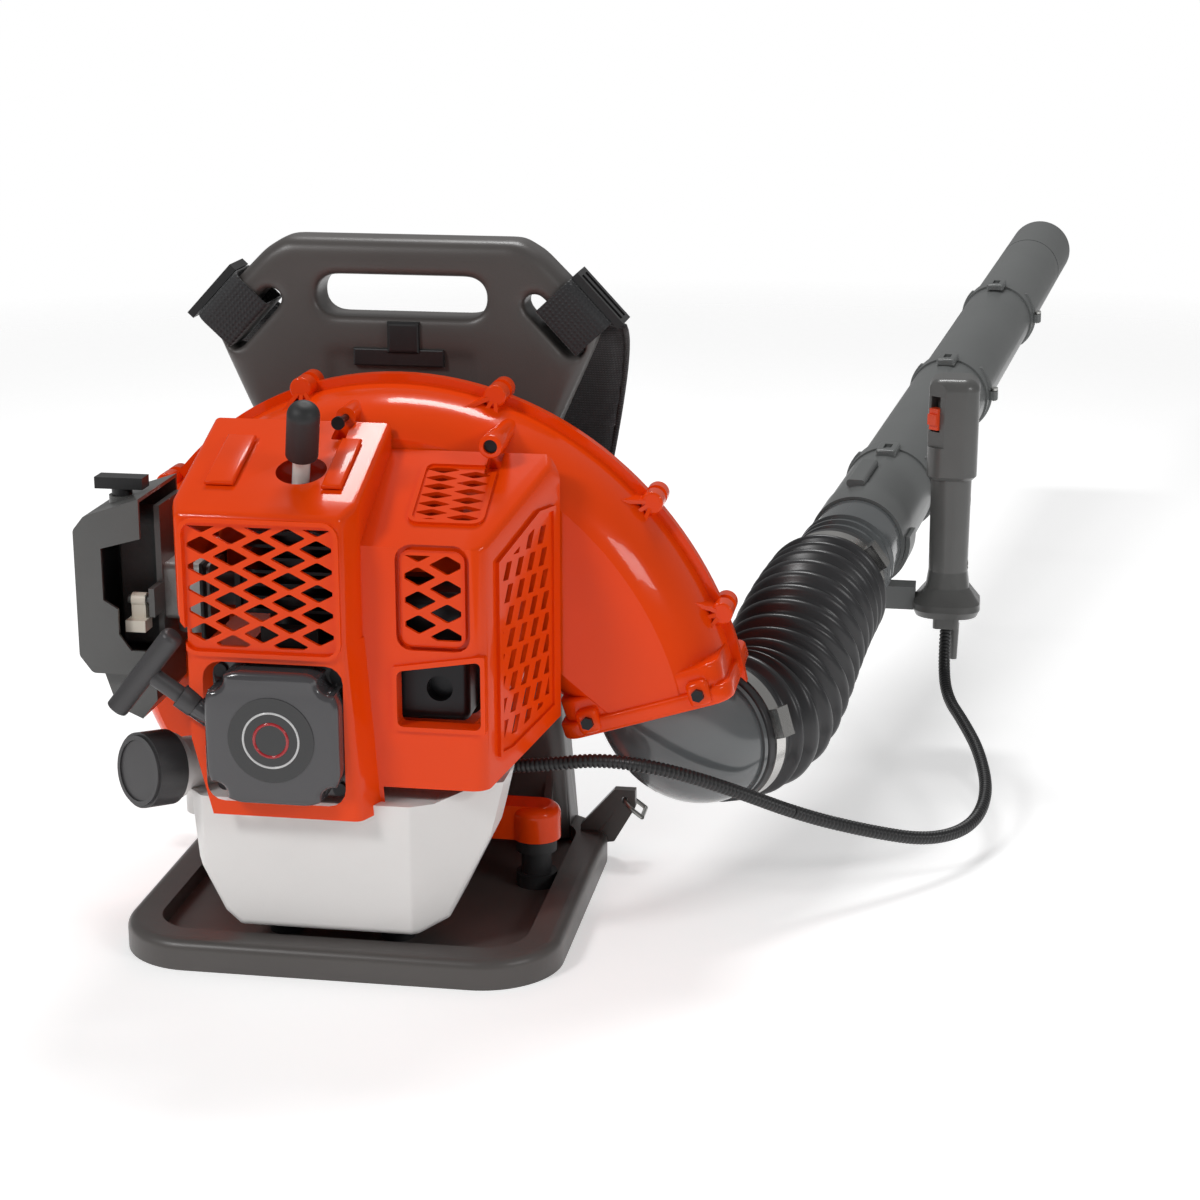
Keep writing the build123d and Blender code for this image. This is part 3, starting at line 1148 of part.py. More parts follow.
def bellows():
    path = hose_path()
    near, far = CUFF_L + 2, path.length - CUFF_L - 8
    pitch = (far - near) / RIBS
    outer = [(0, ELBOW_R + CUFF_T), (CUFF_L, ELBOW_R + CUFF_T)]
    for i in range(RIBS):
        share = i / (RIBS - 1)
        tip = RIB_NEAR_R + (RIB_FAR_R - RIB_NEAR_R) * share
        outer.append((near + (i + 0.5) * pitch, tip))
        outer.append((near + (i + 1) * pitch, tip - RIB_DEPTH))
    outer += [(far + 5, PIPE_R[0] + CUFF_T + SEAT), (path.length, PIPE_R[0] + CUFF_T + SEAT)]
    bore = [(0, ELBOW_R + SEAT), (CUFF_L + 1, ELBOW_R + SEAT), (near + pitch, ELBOW_R - 2),
            (path.length / 2, ELBOW_R - 3), (far - pitch, RIB_FAR_R - RIB_DEPTH - HOSE_WALL),
            (far + 4, PIPE_R[0] + SEAT), (path.length, PIPE_R[0] + SEAT)]
    body = loft([hose_section(path, s, r) for s, r in outer], ruled=True)
    return body - loft([hose_section(path, s, r) for s, r in bore], ruled=True)


def hose_clamp(centre, axis, r, turn):
    """A steel band with a worm-screw housing on one side."""
    plane = Plane(origin=centre, x_dir=side_of(axis), z_dir=unit(axis))
    band = Circle(r + BAND_T) - Circle(r)
    body = extrude(plane * band, BAND_W / 2, both=True)
    house = Pos(r + BAND_T + 3, 0) * Rectangle(8, 22)
    body += extrude(plane * (Rot(0, 0, turn) * house), BAND_W / 2 + 1, both=True)
    seat = Circle(r)
    return body - extrude(plane * seat, BAND_W, both=True)


def side_of(axis):
    """The level direction square to an axis, pointing right."""
    a = unit(axis)
    n = sqrt(a[0] ** 2 + a[1] ** 2)
    return (a[1] / n, -a[0] / n, 0)


# ---- blow tube --------------------------------------------------------------------------------
# A place along the tube: x to the right, y down and z along the tube.
TUBE = Plane(origin=TUBE_START, x_dir=side_of(TUBE_AXIS), z_dir=unit(TUBE_AXIS)).location


def rim_r(i):
    """Outer radius of a pipe's collar."""
    return PIPE_R[i] + COLLAR_STAND[i]


def pipe(i):
    """One pipe: a collar over the pipe before it, a tapered body and a spigot at its end."""
    s0, r0, r1 = JOINTS_S[i], PIPE_R[i], PIPE_END_R[i]
    socket = PIPE_END_R[i - 1] + SEAT
    collar = SLEEVE_L if i == 1 else COLLAR_L
    outer = [(rim_r(i), s0), (rim_r(i), s0 + collar), (r0, s0 + collar + 2)]
    if i == len(JOINTS_S) - 1:
        tip = TUBE_END_S - NOZZLE_TIP
        end = [(r1, tip), (r1, TUBE_END_S), (r1 - PIPE_WALL, TUBE_END_S), (r1 - PIPE_WALL, tip)]
    else:
        joint, s1 = JOINTS_S[i + 1] - 0.5, JOINTS_S[i + 1] + SPIGOT
        end = [(r0 - 0.4, joint), (r1, joint), (r1, s1), (r1 - PIPE_WALL, s1),
               (r1 - PIPE_WALL, joint - 3), (r0 - 0.4 - PIPE_WALL, joint - 8)]
    bore = [(socket - 1.2, s0 + collar + 6), (socket - 1.2, s0 + SPIGOT + 1),
            (socket, s0 + SPIGOT + 1), (socket, s0)]
    return TUBE * turned(outer + end + bore)


def swivel_pipe():
    """The ribbed pipe that turns inside the lower pipe's sleeve."""
    r, s1 = PIPE_R[0], JOINTS_S[1] + SPIGOT
    body = TUBE * turned([(r, JOINTS_S[0]), (r, s1 - 60), (PIPE_END_R[0], s1),
                          (PIPE_END_R[0] - PIPE_WALL, s1), (r - PIPE_WALL, s1 - 60),
                          (r - PIPE_WALL, JOINTS_S[0])])
    for s in (-112, -99, -86):
        body += TUBE * turned([(PIPE_R[0] - 1, s - 3), (PIPE_R[0] + 3, s - 1),
                               (PIPE_R[0] + 3, s + 1), (PIPE_R[0] - 1, s + 3)])
    return body


def pipe_ridge(i):
    """The half-round ridge and the screw ear beside a collar."""
    s, r = JOINTS_S[i] + COLLAR_L - 6, rim_r(i)
    ridge = turned([(r - 0.5, s - 3), (r + 2, s - 2), (r + 2, s + 2), (r - 0.5, s + 3)])
    ridge &= Pos(0, 2, s) * Box(3 * r, 2 * r - 20, 20)
    ear = Pos(r + 3, 0, s) * Box(9, 9, 10)
    body = ridge + fillet(ear.edges().filter_by(Axis.Y), 3)
    head_room = Pos(r + 4, -7, s) * Rot(90, 0, 0) * Cylinder(3.9, 4.9)
    return TUBE * (body - Pos(r + 4, 0, s) * Rot(90, 0, 0) * Cylinder(2, 30) - head_room)


def joint_screw(i):
    s, r = JOINTS_S[i] + COLLAR_L - 6, rim_r(i)
    bar = Pos(r + 4, 0, s) * Rot(90, 0, 0) * Cylinder(2 - RUN, 12)
    head = Pos(r + 4, -6.3, s) * Rot(90, 0, 0) * Cylinder(3.6, 2.4)
    return TUBE * (bar + head)


def lower_pipe():
    """The pipe with the lock bump, held by the sleeve at its start."""
    body = pipe(1)
    r = rim_r(1)
    bump = Pos(-8, -r - 1, 18) * Box(16, 7, 56)
    bump = fillet(bump.edges().filter_by(Axis.Z), 3)
    inner = TUBE * turned([(0, -60), (r - 1, -60), (PIPE_R[1] - 1, 60), (0, 60)])
    return body + (TUBE * bump - inner)


def handle_pipe():
    return pipe(2) + pipe_ridge(2)


def middle_pipe():
    return pipe(3) + pipe_ridge(3)


def nozzle():
    """The last pipe, with a groove where its tip starts."""
    body = pipe(4) + pipe_ridge(4)
    groove = turned([(PIPE_R[4] - 1.1, 897), (PIPE_R[4] + 3, 897), (PIPE_R[4] + 3, 900),
                     (PIPE_R[4] - 1.1, 900)])
    return body - TUBE * groove


# ---- control grip -----------------------------------------------------------------------------
GRIP_X, GRIP_Y = GRIP


def grip_section(z, w, d, corner):
    return Pos(GRIP_X, GRIP_Y, z) * RectangleRounded(w, d, corner)


def grip_solid():
    guard = loft([grip_section(GUARD_BOTTOM, 52, 56, 18), grip_section(GUARD_BOTTOM + 6, 57, 62, 18),
                  grip_section(GUARD_BOTTOM + 11, 56, 60, 18),
                  grip_section(GUARD_TOP, GRIP_W + 3, GRIP_D + 3, 14)], ruled=True)
    shank = loft([grip_section(GUARD_TOP, GRIP_W + 3, GRIP_D + 3, 14),
                  grip_section(GUARD_TOP + 14, GRIP_W - 1, GRIP_D - 1, 14),
                  grip_section(HEAD_BOTTOM, GRIP_W, GRIP_D, 14)], ruled=True)
    head = extrude(grip_section(HEAD_BOTTOM, HEAD_W, HEAD_D, 13), GRIP_TOP - HEAD_BOTTOM)
    head = fillet(head.edges().group_by(Axis.Z)[-1], 10)
    head = chamfer(head.edges().group_by(Axis.Z)[0], 3)
    socket = extrude(grip_section(SOCKET_BOTTOM, 22, 26, 4), GUARD_BOTTOM - SOCKET_BOTTOM)
    return guard + shank + head + socket


def switch_plane():
    """The slanted face at the head's near left corner that carries the stop switch."""
    x, y = GRIP_X - HEAD_W / 2 + 6, GRIP_Y - HEAD_D / 2 + 6
    return Plane(origin=(x, y, SWITCH_Z), x_dir=(0.8, -0.6, 0), z_dir=(-0.6, -0.8, 0))


def trigger_profile(grow=0.0):
    x = GRIP_Y + 12
    return outline((x - 4 - grow, TRIGGER_Z), (x + 4, TRIGGER_Z + 4 + grow),
                   (x + 18 + grow, TRIGGER_Z - 14), (x + 17 + grow, TRIGGER_Z - 40 - grow),
                   (x + 11, TRIGGER_Z - 42 - grow), (x + 5 - 3 * grow, TRIGGER_Z - 20))


def grip_body():
    body = grip_solid()
    wide = TRIGGER_W / 2 + 0.5
    pocket = block(GRIP_X - wide, GRIP_X + wide, GRIP_Y + 5, GRIP_Y + 40, TRIGGER_Z - 46,
                   TRIGGER_Z + 8)
    body -= pocket
    body -= rod((GRIP_X, GRIP_Y + 12, TRIGGER_Z), (1, 0, 0), 2, -14, 14)
    flat = switch_plane()
    body -= extrude(flat * Rectangle(34, 56), 20)
    body -= extrude(flat * Rectangle(9.6, 30), -9)
    bore = rod((GRIP_X, GRIP_Y, 0), (0, 0, 1), CONDUIT_R - 1, SOCKET_BOTTOM - 1, 200)
    return body - bore


def grip_half(side):
    x = GRIP_SPLIT
    half = block(x, x + 60, 300, 500, 0, 500) if side > 0 else block(x - 60, x, 300, 500, 0, 500)
    body = grip_body() & half
    for z in GRIP_SCREWS_Z:
        body -= rod((0, GRIP_Y - 4, z), (1, 0, 0), 2, 300, 500)
        body -= rod((0, GRIP_Y - 4, z), (1, 0, 0), 4, GRIP_X + GRIP_W / 2 - 2, 500)
    return body


def grip_screw(z):
    head_x = GRIP_X + GRIP_W / 2 - 2
    bar = rod((0, GRIP_Y - 4, z), (1, 0, 0), 2 - RUN, GRIP_SPLIT - 8, head_x)
    return bar + rod((0, GRIP_Y - 4, z), (1, 0, 0), 3.4, head_x, head_x + 2)


def trigger():
    plane = Plane(origin=(GRIP_X - TRIGGER_W / 2, 0, 0), x_dir=(0, 1, 0), z_dir=(1, 0, 0))
    body = extrude(plane * trigger_profile(), TRIGGER_W)
    body += rod((GRIP_X, GRIP_Y + 12, TRIGGER_Z), (1, 0, 0), 4, -TRIGGER_W / 2, TRIGGER_W / 2)
    return body - rod((GRIP_X, GRIP_Y + 12, TRIGGER_Z), (1, 0, 0), 2, -9, 9)


def trigger_pin():
    return rod((GRIP_X, GRIP_Y + 12, TRIGGER_Z), (1, 0, 0), 2 - RUN, -13, 13)


def stop_switch():
    flat = switch_plane()
    body = extrude(flat * (Pos(0, -4) * Rectangle(9, 18)), 2.5) + \
        extrude(flat * (Pos(0, -4) * Rectangle(9, 18)), -5)
    return body + extrude(flat * (Pos(0, -4) * Rectangle(9, 9)), 5)


def handle_bracket():
    """A saddle under the sleeve with an arm out to the foot of the grip."""
    r = rim_r(1) + SEAT
    saddle = turned([(r, -33), (r + 3.5, -33), (r + 3.5, -8), (r, -8)])
    saddle = TUBE * (saddle & Pos(20, 40, -20) * Box(130, 90, 60))
    arm = block(322, GRIP_X - 27, GRIP_Y - 8, GRIP_Y + 14, GUARD_BOTTOM + 2, GUARD_TOP - 2)
    arm -= TUBE * extrude(Pos(0, 0, -80) * Circle(r + 1), 160)
    return saddle + (arm - grip_solid())


def cable_sleeve():
    """The short tapered tube beside the conduit under the grip."""
    base = Plane(origin=(GRIP_X + 7, GRIP_Y + 9, SOCKET_BOTTOM))
    tip = base.offset(-32)
    return loft([base * Circle(4.5), tip * Circle(3.4)])


# ---- conduit ----------------------------------------------------------------------------------
CONDUIT = [(64, -44, 119), (100, -45, 120), (135, -47, 124), (171, -47, 130), (212, -41, 124),
           (257, -14, 102), (306, 30, 68), (355, 62, 46), (398, 95, 29), (429, 136, 26),
           (440, 190, 34), (432, 252, 46), (418, 308, 52), (402, 358, 58), (397.5, 401, 74),
           (GRIP_X, GRIP_Y, SOCKET_BOTTOM - 4)]


def conduit_radii():
    radii = []
    for a, b, c in zip(CONDUIT, CONDUIT[1:], CONDUIT[2:]):
        first, second = Vector(*b) - Vector(*a), Vector(*c) - Vector(*b)
        half = radians(first.get_angle(second)) / 2
        radii.append(0.45 * min(first.length, second.length) / tan(half))
    return radii


def throttle_conduit():
    radii = conduit_radii()
    print("conduit radii", [round(r) for r in radii])
    path = FilletPolyline(*CONDUIT, radius=radii)
    start = Vector(*CONDUIT[1]) - Vector(*CONDUIT[0])
    tube = sweep(Plane(origin=CONDUIT[0], z_dir=start) * Circle(CONDUIT_R), path=path)
    print("conduit length", round(path.length), "volume ratio",
          round(tube.volume / (pi * CONDUIT_R ** 2 * path.length), 4))
    return tube


def conduit_clip():
    """The block on the fan case that holds the conduit's inner end."""
    x, y, z = CONDUIT[0]
    body = block(x - 16, x + 8, y - 9, FAN_FRONT + 1, z - 9, z + 9)
    return body - rod(CONDUIT[0], (1, 0, 0), CONDUIT_R + 2 * SEAT, -1, 12)


def starter_rope():
    return rod(ROPE_EXIT, PULL_AXIS, ROPE_R, -24, 0)


# ---- lower straps -----------------------------------------------------------------------------
def strap_ring(side):
    """A D-ring through the ear: a half round and a straight outer bar."""
    x, y, z = ear_eye(side)
    slant = (side * 0.8, 0, -0.6)
    plane = Plane(origin=(x, y, z), x_dir=(0, 1, 0), z_dir=(side * 0.6, 0, 0.8))
    start = 1 if plane.y_dir.X * side > 0 else -1
    bow = ThreePointArc((-RING_R, start * RING_R), (0, 0), (RING_R, start * RING_R))
    legs = Polyline((RING_R, start * RING_R), (RING_R, start * 1.7 * RING_R),
                    (-RING_R, start * 1.7 * RING_R), (-RING_R, start * RING_R))
    wire = plane * (bow + legs)
    profile = Plane(origin=wire @ 0, z_dir=wire % 0) * Circle(RING_WIRE)
    return sweep(profile, path=wire, transition=Transition.ROUND)


def lower_web(side):
    """Webbing from the pad's lower end down the foot of the back plate."""
    half = (STRAP_W - 16) / 2
    x = side * LOWER_WEB_X
    near = BACK_REAR + SEAT
    return block(x - half, x + half, near, near + STRAP_T, LOWER_WEB_Z, LOWER_WEB_Z + LOWER_WEB_L)


add("frame", frame())
add("back_pad", back_pad())
add("shoulder_pads", shoulder_pad(-1), shoulder_pad(1))
add("strap_webs", upper_web(-1), upper_web(1), lower_web(-1), lower_web(1))
add("strap_buckles", strap_buckle(-1), strap_buckle(1))
add("fan_case_front", fan_case_front() + conduit_clip())
add("fan_case_rear", fan_case_rear())
add("fan_case_screws", *[fan_case_screw(a) for a in BOSS_ANGLES])
add("intake_guard", intake_guard())
add("impeller", impeller())
add("rubber_mounts", *rubber_mounts())
add("crankcase_front", crankcase_front())
add("crankcase_rear", crankcase_rear())
add("main_bearings", bearing(CASE_FRONT + 4), bearing(FAN_FRONT - SEAT - 4 - BEARING_T))
add("cylinder", cylinder())
add("piston", piston())
add("connecting_rod", connecting_rod())
add("crank_throw", crank_throw())
add("crankshaft", crankshaft_end(CUP_FRONT + 1, CASE_SPLIT - 13),
    crankshaft_end(CASE_SPLIT + 13, IMPELLER_REAR - 6))
add("flywheel", flywheel())
add("starter_cup", starter_cup())
add("starter_case", starter_case())
add("starter_reel", starter_reel())
add("recoil_spring", recoil_spring())
add("starter_rope", starter_rope())
add("starter_handle", starter_handle())
add("spark_plug", spark_plug())
add("spark_plug_cap", spark_plug_cap())
add("ignition_coil", ignition_coil())
add("muffler", muffler())
add("intake_manifold", intake_manifold())
add("carburettor", carburettor())
add("air_cleaner_cover", air_cleaner_cover())
add("air_cleaner_base", air_cleaner_base())
add("air_filter", air_filter())
add("air_cleaner_knob", cleaner_knob())
add("choke_lever", choke_lever())
add("engine_cover", engine_cover())
add("cover_screws", *[cover_screw(x, z) for x, z in COVER_POSTS],
    *[starter_screw(sx, sz) for sx in (-1, 1) for sz in (-1, 1)])
add("fuel_tank", fuel_tank())
add("fuel_cap", fuel_cap())
add("elbow", elbow())
add("hose_clamp_lower", hose_clamp(along(ELBOW_END, ELBOW_AXIS, -CUFF_L / 2), ELBOW_AXIS,
                                   ELBOW_R + CUFF_T + SEAT, -20))
add("bellows", bellows())
add("hose_clamp_upper", hose_clamp(UPPER_CLAMP, TUBE_AXIS, PIPE_R[0] + CUFF_T + 2 * SEAT, -35))
add("swivel_pipe", swivel_pipe())
add("lower_pipe", lower_pipe())
add("handle_pipe", handle_pipe())
add("middle_pipe", middle_pipe())
add("nozzle", nozzle())
add("pipe_screws", *[joint_screw(i) for i in (2, 3, 4)])
add("handle_bracket", handle_bracket())
add("grip_left", grip_half(-1))
add("grip_right", grip_half(1) + cable_sleeve())
add("grip_screws", *[grip_screw(z) for z in GRIP_SCREWS_Z], trigger_pin())
add("trigger", trigger())
add("stop_switch", stop_switch())
add("throttle_conduit", throttle_conduit())
add("strap_ring_left", strap_ring(-1))
add("strap_ring_right", strap_ring(1))


# ---- write ------------------------------------------------------------------------------------
for name, shape in NODES.items():
    export_step(shape, f"parts/{name}.step")
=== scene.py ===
# %% [markdown]
# # Dressing a backpack leaf blower
# The solids of this machine come from its CAD source: engine, fan case, carrying frame, bellows
# hose and blow tube. They are loaded as a fixed frame. This lesson gives each of them its finish
# and builds what solids can't show well: the padded harness, the webbing, the ribbed cable
# conduit, the bellows, and the soft edges of the engine cover, the starter case and the frame.
# Everything is in the CAD's own frame, in metres. The moulded pieces are written in millimetres.

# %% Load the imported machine
import math
import bmesh
import bpy
import numpy as np
from mathutils import Matrix, Vector


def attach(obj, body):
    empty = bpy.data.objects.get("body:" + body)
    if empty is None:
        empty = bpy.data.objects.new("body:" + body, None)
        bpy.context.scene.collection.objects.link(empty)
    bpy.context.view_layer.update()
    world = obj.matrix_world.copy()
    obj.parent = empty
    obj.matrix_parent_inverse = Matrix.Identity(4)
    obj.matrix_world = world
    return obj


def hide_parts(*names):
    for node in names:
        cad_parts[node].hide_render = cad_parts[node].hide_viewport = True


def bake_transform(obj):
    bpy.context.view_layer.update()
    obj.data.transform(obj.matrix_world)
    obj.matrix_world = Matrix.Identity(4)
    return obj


MM = 0.001

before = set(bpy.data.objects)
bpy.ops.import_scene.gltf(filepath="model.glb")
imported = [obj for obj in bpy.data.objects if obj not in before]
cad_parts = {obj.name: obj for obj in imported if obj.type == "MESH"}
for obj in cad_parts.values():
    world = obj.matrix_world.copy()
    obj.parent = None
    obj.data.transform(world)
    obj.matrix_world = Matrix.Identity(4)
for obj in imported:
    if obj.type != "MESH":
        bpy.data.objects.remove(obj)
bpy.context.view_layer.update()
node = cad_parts


def unit(*parts):
    """A direction of length one."""
    return Vector(parts).normalized()


def into_scene(name, data):
    """A new object of the given data."""
    made = bpy.data.objects.new(name, data)
    bpy.context.scene.collection.objects.link(made)
    return made


# %% [markdown]
# The camera stands in front of the engine, a little to the right and above, and looks down the
# machine towards the end of the blow tube. A 75 mm lens keeps the long tube from shrinking too
# fast with distance.

# %% Camera
camera_data = bpy.data.cameras.new("camera")
camera_data.lens = 74.63
camera_data.sensor_width = 36.0
camera_data.clip_start = 0.05
camera = into_scene("camera", camera_data)
camera.location = (0.4341, -1.6635, 0.7083)
look = Vector((0.1636, 0.0, 0.23184)) - camera.location
camera.rotation_euler = look.to_track_quat("-Z", "Y").to_euler()
bpy.context.scene.camera = camera
bpy.context.scene.view_settings.view_transform = "Standard"
print("camera", round(look.length, 3), "from what it looks at")

# %% [markdown]
# ## Finishes
# Moulded plastic is never one flat colour. Its gloss drifts a little from place to place, and
# under a close light its skin shows a fine grain. A plain colour would look like a toy, and a
# picture would slide when a piece moves. So each finish below mixes its colour with a slow
# noise, gives the roughness a faster noise and adds a fine bump, all from Object coordinates.

# %% A finish with drifting colour, uneven gloss and a fine grain
def noise(tree, place, scale, detail):
    """A noise texture that is read from Object coordinates."""
    made = tree.nodes.new("ShaderNodeTexNoise")
    made.inputs["Scale"].default_value = scale
    made.inputs["Detail"].default_value = detail
    tree.links.new(place.outputs["Object"], made.inputs["Vector"])
    return made.outputs["Fac"]


def bumped(tree, height, strength, distance):
    """Lets a height raise the surface of the material's shader."""
    bump = tree.nodes.new("ShaderNodeBump")
    bump.inputs["Strength"].default_value = strength
    bump.inputs["Distance"].default_value = distance
    tree.links.new(height, bump.inputs["Height"])
    tree.links.new(bump.outputs["Normal"], tree.nodes["Principled BSDF"].inputs["Normal"])


def finish(name, colour, rough, drift=0.06, grain=0.0, grain_size=900.0, metal=0.0, coat=0.0,
           patch=14.0, uneven=0.05):
    """A material: patch is the scale of its drift, uneven how far its roughness varies."""
    made = bpy.data.materials.new(name)
    made.use_nodes = True
    tree = made.node_tree
    shader = tree.nodes["Principled BSDF"]
    shader.inputs["Metallic"].default_value = metal
    shader.inputs["Coat Weight"].default_value = coat
    shader.inputs["Coat Roughness"].default_value = 0.04
    place = tree.nodes.new("ShaderNodeTexCoord")
    slow = noise(tree, place, patch, 4.0)
    ramp = tree.nodes.new("ShaderNodeValToRGB")
    for stop, at, share in zip(ramp.color_ramp.elements, (0.3, 0.7), (1 - drift, 1 + drift)):
        stop.position = at
        stop.color = (*[min(1, c * share) for c in colour], 1)
    tree.links.new(slow, ramp.inputs["Fac"])
    tree.links.new(ramp.outputs["Color"], shader.inputs["Base Color"])
    gloss = noise(tree, place, patch * 5, 3.0)
    spread = tree.nodes.new("ShaderNodeMapRange")
    spread.inputs["To Min"].default_value = max(0.0, rough - uneven)
    spread.inputs["To Max"].default_value = rough + uneven
    tree.links.new(gloss, spread.inputs["Value"])
    tree.links.new(spread.outputs["Result"], shader.inputs["Roughness"])
    if grain:
        bumped(tree, noise(tree, place, grain_size, 2.0), grain, 0.0004)
    return made


# %% [markdown]
# The shells are glossy orange plastic and the frame is a dull grey one. The cases beside the
# engine, the elbow and the pipes are greys that differ a little from each other. Rubber, steel,
# zinc, cast alloy, foam and the tank's milky white each get a finish of their own.

# %% The machine's plastics, rubbers and metals
orange_shell = finish("orange_shell", (0.86, 0.060, 0.002), 0.20, 0.05, 0.04, 260.0, coat=0.3,
                      patch=6.0, uneven=0.03)
# A low specular level keeps the white room from paling the orange.
orange_shell.node_tree.nodes["Principled BSDF"].inputs["Specular IOR Level"].default_value = 0.1
frame_grey = finish("frame_grey", (0.084, 0.076, 0.072), 0.36, 0.08, 0.22, 1500.0, patch=9.0)
case_grey = finish("case_grey", (0.052, 0.050, 0.052), 0.40, 0.08, 0.25, 1400.0)
glossy_grey = finish("glossy_grey", (0.060, 0.058, 0.062), 0.16, 0.06, 0.04, 300.0, coat=0.3)
elbow_grey = finish("elbow_grey", (0.112, 0.120, 0.124), 0.16, 0.06, 0.04, 300.0, coat=0.4)
air_grey = finish("air_grey", (0.098, 0.098, 0.095), 0.34, 0.08, 0.2, 1300.0, coat=0.2)
pipe_grey = finish("pipe_grey", (0.135, 0.141, 0.140), 0.30, 0.06, 0.10, 900.0, patch=5.0)
black_rubber = finish("black_rubber", (0.018, 0.018, 0.019), 0.55, 0.1, 0.15, 1200.0)
bellows_black = finish("bellows_black", (0.030, 0.030, 0.032), 0.32, 0.08, 0.08, 700.0)
black_moulding = finish("black_moulding", (0.016, 0.016, 0.017), 0.38, 0.1, 0.15, 1300.0)
impeller_black = finish("impeller_black", (0.022, 0.022, 0.023), 0.5, 0.1, 0.2, 900.0)
bright_steel = finish("bright_steel", (0.62, 0.61, 0.59), 0.24, 0.08, 0.05, 700.0, metal=1.0)
zinc = finish("zinc", (0.50, 0.50, 0.48), 0.33, 0.12, 0.10, 500.0, metal=1.0)
black_steel = finish("black_steel", (0.020, 0.020, 0.022), 0.35, 0.15, 0.10, 900.0, metal=0.6)
cast_alloy = finish("cast_alloy", (0.42, 0.42, 0.41), 0.5, 0.1, 0.6, 650.0, metal=0.9)
cream = finish("cream", (0.78, 0.73, 0.62), 0.4, 0.04, 0.08, 900.0)
ceramic = finish("ceramic", (0.86, 0.85, 0.80), 0.15, 0.03, 0.02, 500.0, coat=0.4)
switch_orange = finish("switch_orange", (0.84, 0.07, 0.015), 0.35, 0.05, 0.12, 1100.0)
filter_foam = finish("filter_foam", (0.06, 0.06, 0.06), 0.9, 0.25, 0.9, 420.0)
tank_white = finish("tank_white", (0.82, 0.80, 0.785), 0.36, 0.02, 0.12, 700.0)
# Light passes a little way into the tank's wall.
tank_shader = tank_white.node_tree.nodes["Principled BSDF"]
tank_shader.inputs["Subsurface Weight"].default_value = 0.35
tank_shader.inputs["Subsurface Radius"].default_value = (0.01, 0.01, 0.01)
print("finishes", len(bpy.data.materials))


# %% Dress the CAD nodes
def dress(material, *names):
    """Gives CAD nodes a finish."""
    for name in names:
        data = node[name].data
        data.materials.clear()
        data.materials.append(material)
    print(material.name, "on", len(names), "nodes")


dress(frame_grey, "frame")
dress(orange_shell, "engine_cover", "fan_case_front", "fan_case_rear")
dress(case_grey, "starter_handle", "fuel_cap")
dress(glossy_grey, "starter_case")
dress(air_grey, "air_cleaner_cover", "air_cleaner_base", "grip_left", "grip_right")
dress(elbow_grey, "elbow", "swivel_pipe")
dress(pipe_grey, "lower_pipe", "handle_pipe", "middle_pipe", "nozzle", "handle_bracket")
dress(black_rubber, "rubber_mounts", "spark_plug_cap", "intake_manifold")
dress(black_moulding, "intake_guard", "starter_reel", "ignition_coil", "air_cleaner_knob",
      "trigger", "strap_buckles")
dress(impeller_black, "impeller")
dress(bright_steel, "hose_clamp_lower", "hose_clamp_upper", "main_bearings", "connecting_rod",
      "crank_throw", "crankshaft", "recoil_spring")
dress(zinc, "strap_ring_left", "strap_ring_right", "starter_cup", "pipe_screws", "grip_screws")
dress(black_steel, "fan_case_screws", "cover_screws", "muffler")
dress(cast_alloy, "piston", "flywheel", "carburettor")
# The cylinder and the crankcase are dark steel, not cast alloy: painted shade, so that the engine
# seen through the grilles is as dim as the inside of the cover.
dress(black_steel, "cylinder", "crankcase_front", "crankcase_rear")
dress(cream, "choke_lever")
dress(ceramic, "spark_plug")
dress(switch_orange, "stop_switch")
dress(filter_foam, "air_filter")
dress(tank_white, "fuel_tank")

# %% [markdown]
# ## Woven black cloth and webbing
# Webbing is a tight weave of thick yarns that run lengthwise. Yarns of real thickness would need
# far too many faces, so two crossed wave textures make them as a bump. The cloth of the pads is
# finer and duller, with a little sheen where it is seen edge on.

# %% Woven finishes
def woven(name, colour, yarns, depth, rough, along="Object"):
    """A woven material, its yarns laid along Object coordinates or the piece's own UV map."""
    made = finish(name, colour, rough, 0.12, patch=30.0)
    tree = made.node_tree
    shader = tree.nodes["Principled BSDF"]
    shader.inputs["Sheen Weight"].default_value = 0.25
    shader.inputs["Sheen Roughness"].default_value = 0.5
    crossed = tree.nodes.new("ShaderNodeMath")
    crossed.operation = "MULTIPLY"
    for i, direction in enumerate(("X", "Y" if along == "UV" else "Z")):
        wave = tree.nodes.new("ShaderNodeTexWave")
        wave.bands_direction = direction
        wave.inputs["Scale"].default_value = yarns
        wave.inputs["Distortion"].default_value = 0.6
        tree.links.new(tree.nodes["Texture Coordinate"].outputs[along], wave.inputs["Vector"])
        tree.links.new(wave.outputs["Fac"], crossed.inputs[i])
    bumped(tree, crossed.outputs["Value"], depth, 0.0006)
    return made


pad_cloth = woven("pad_cloth", (0.017, 0.017, 0.019), 150.0, 0.5, 0.85)
webbing = woven("webbing", (0.014, 0.014, 0.016), 95.0, 0.7, 0.6, along="UV")
thread_black = finish("thread_black", (0.045, 0.045, 0.048), 0.6, 0.1)
print("cloth, webbing and thread")
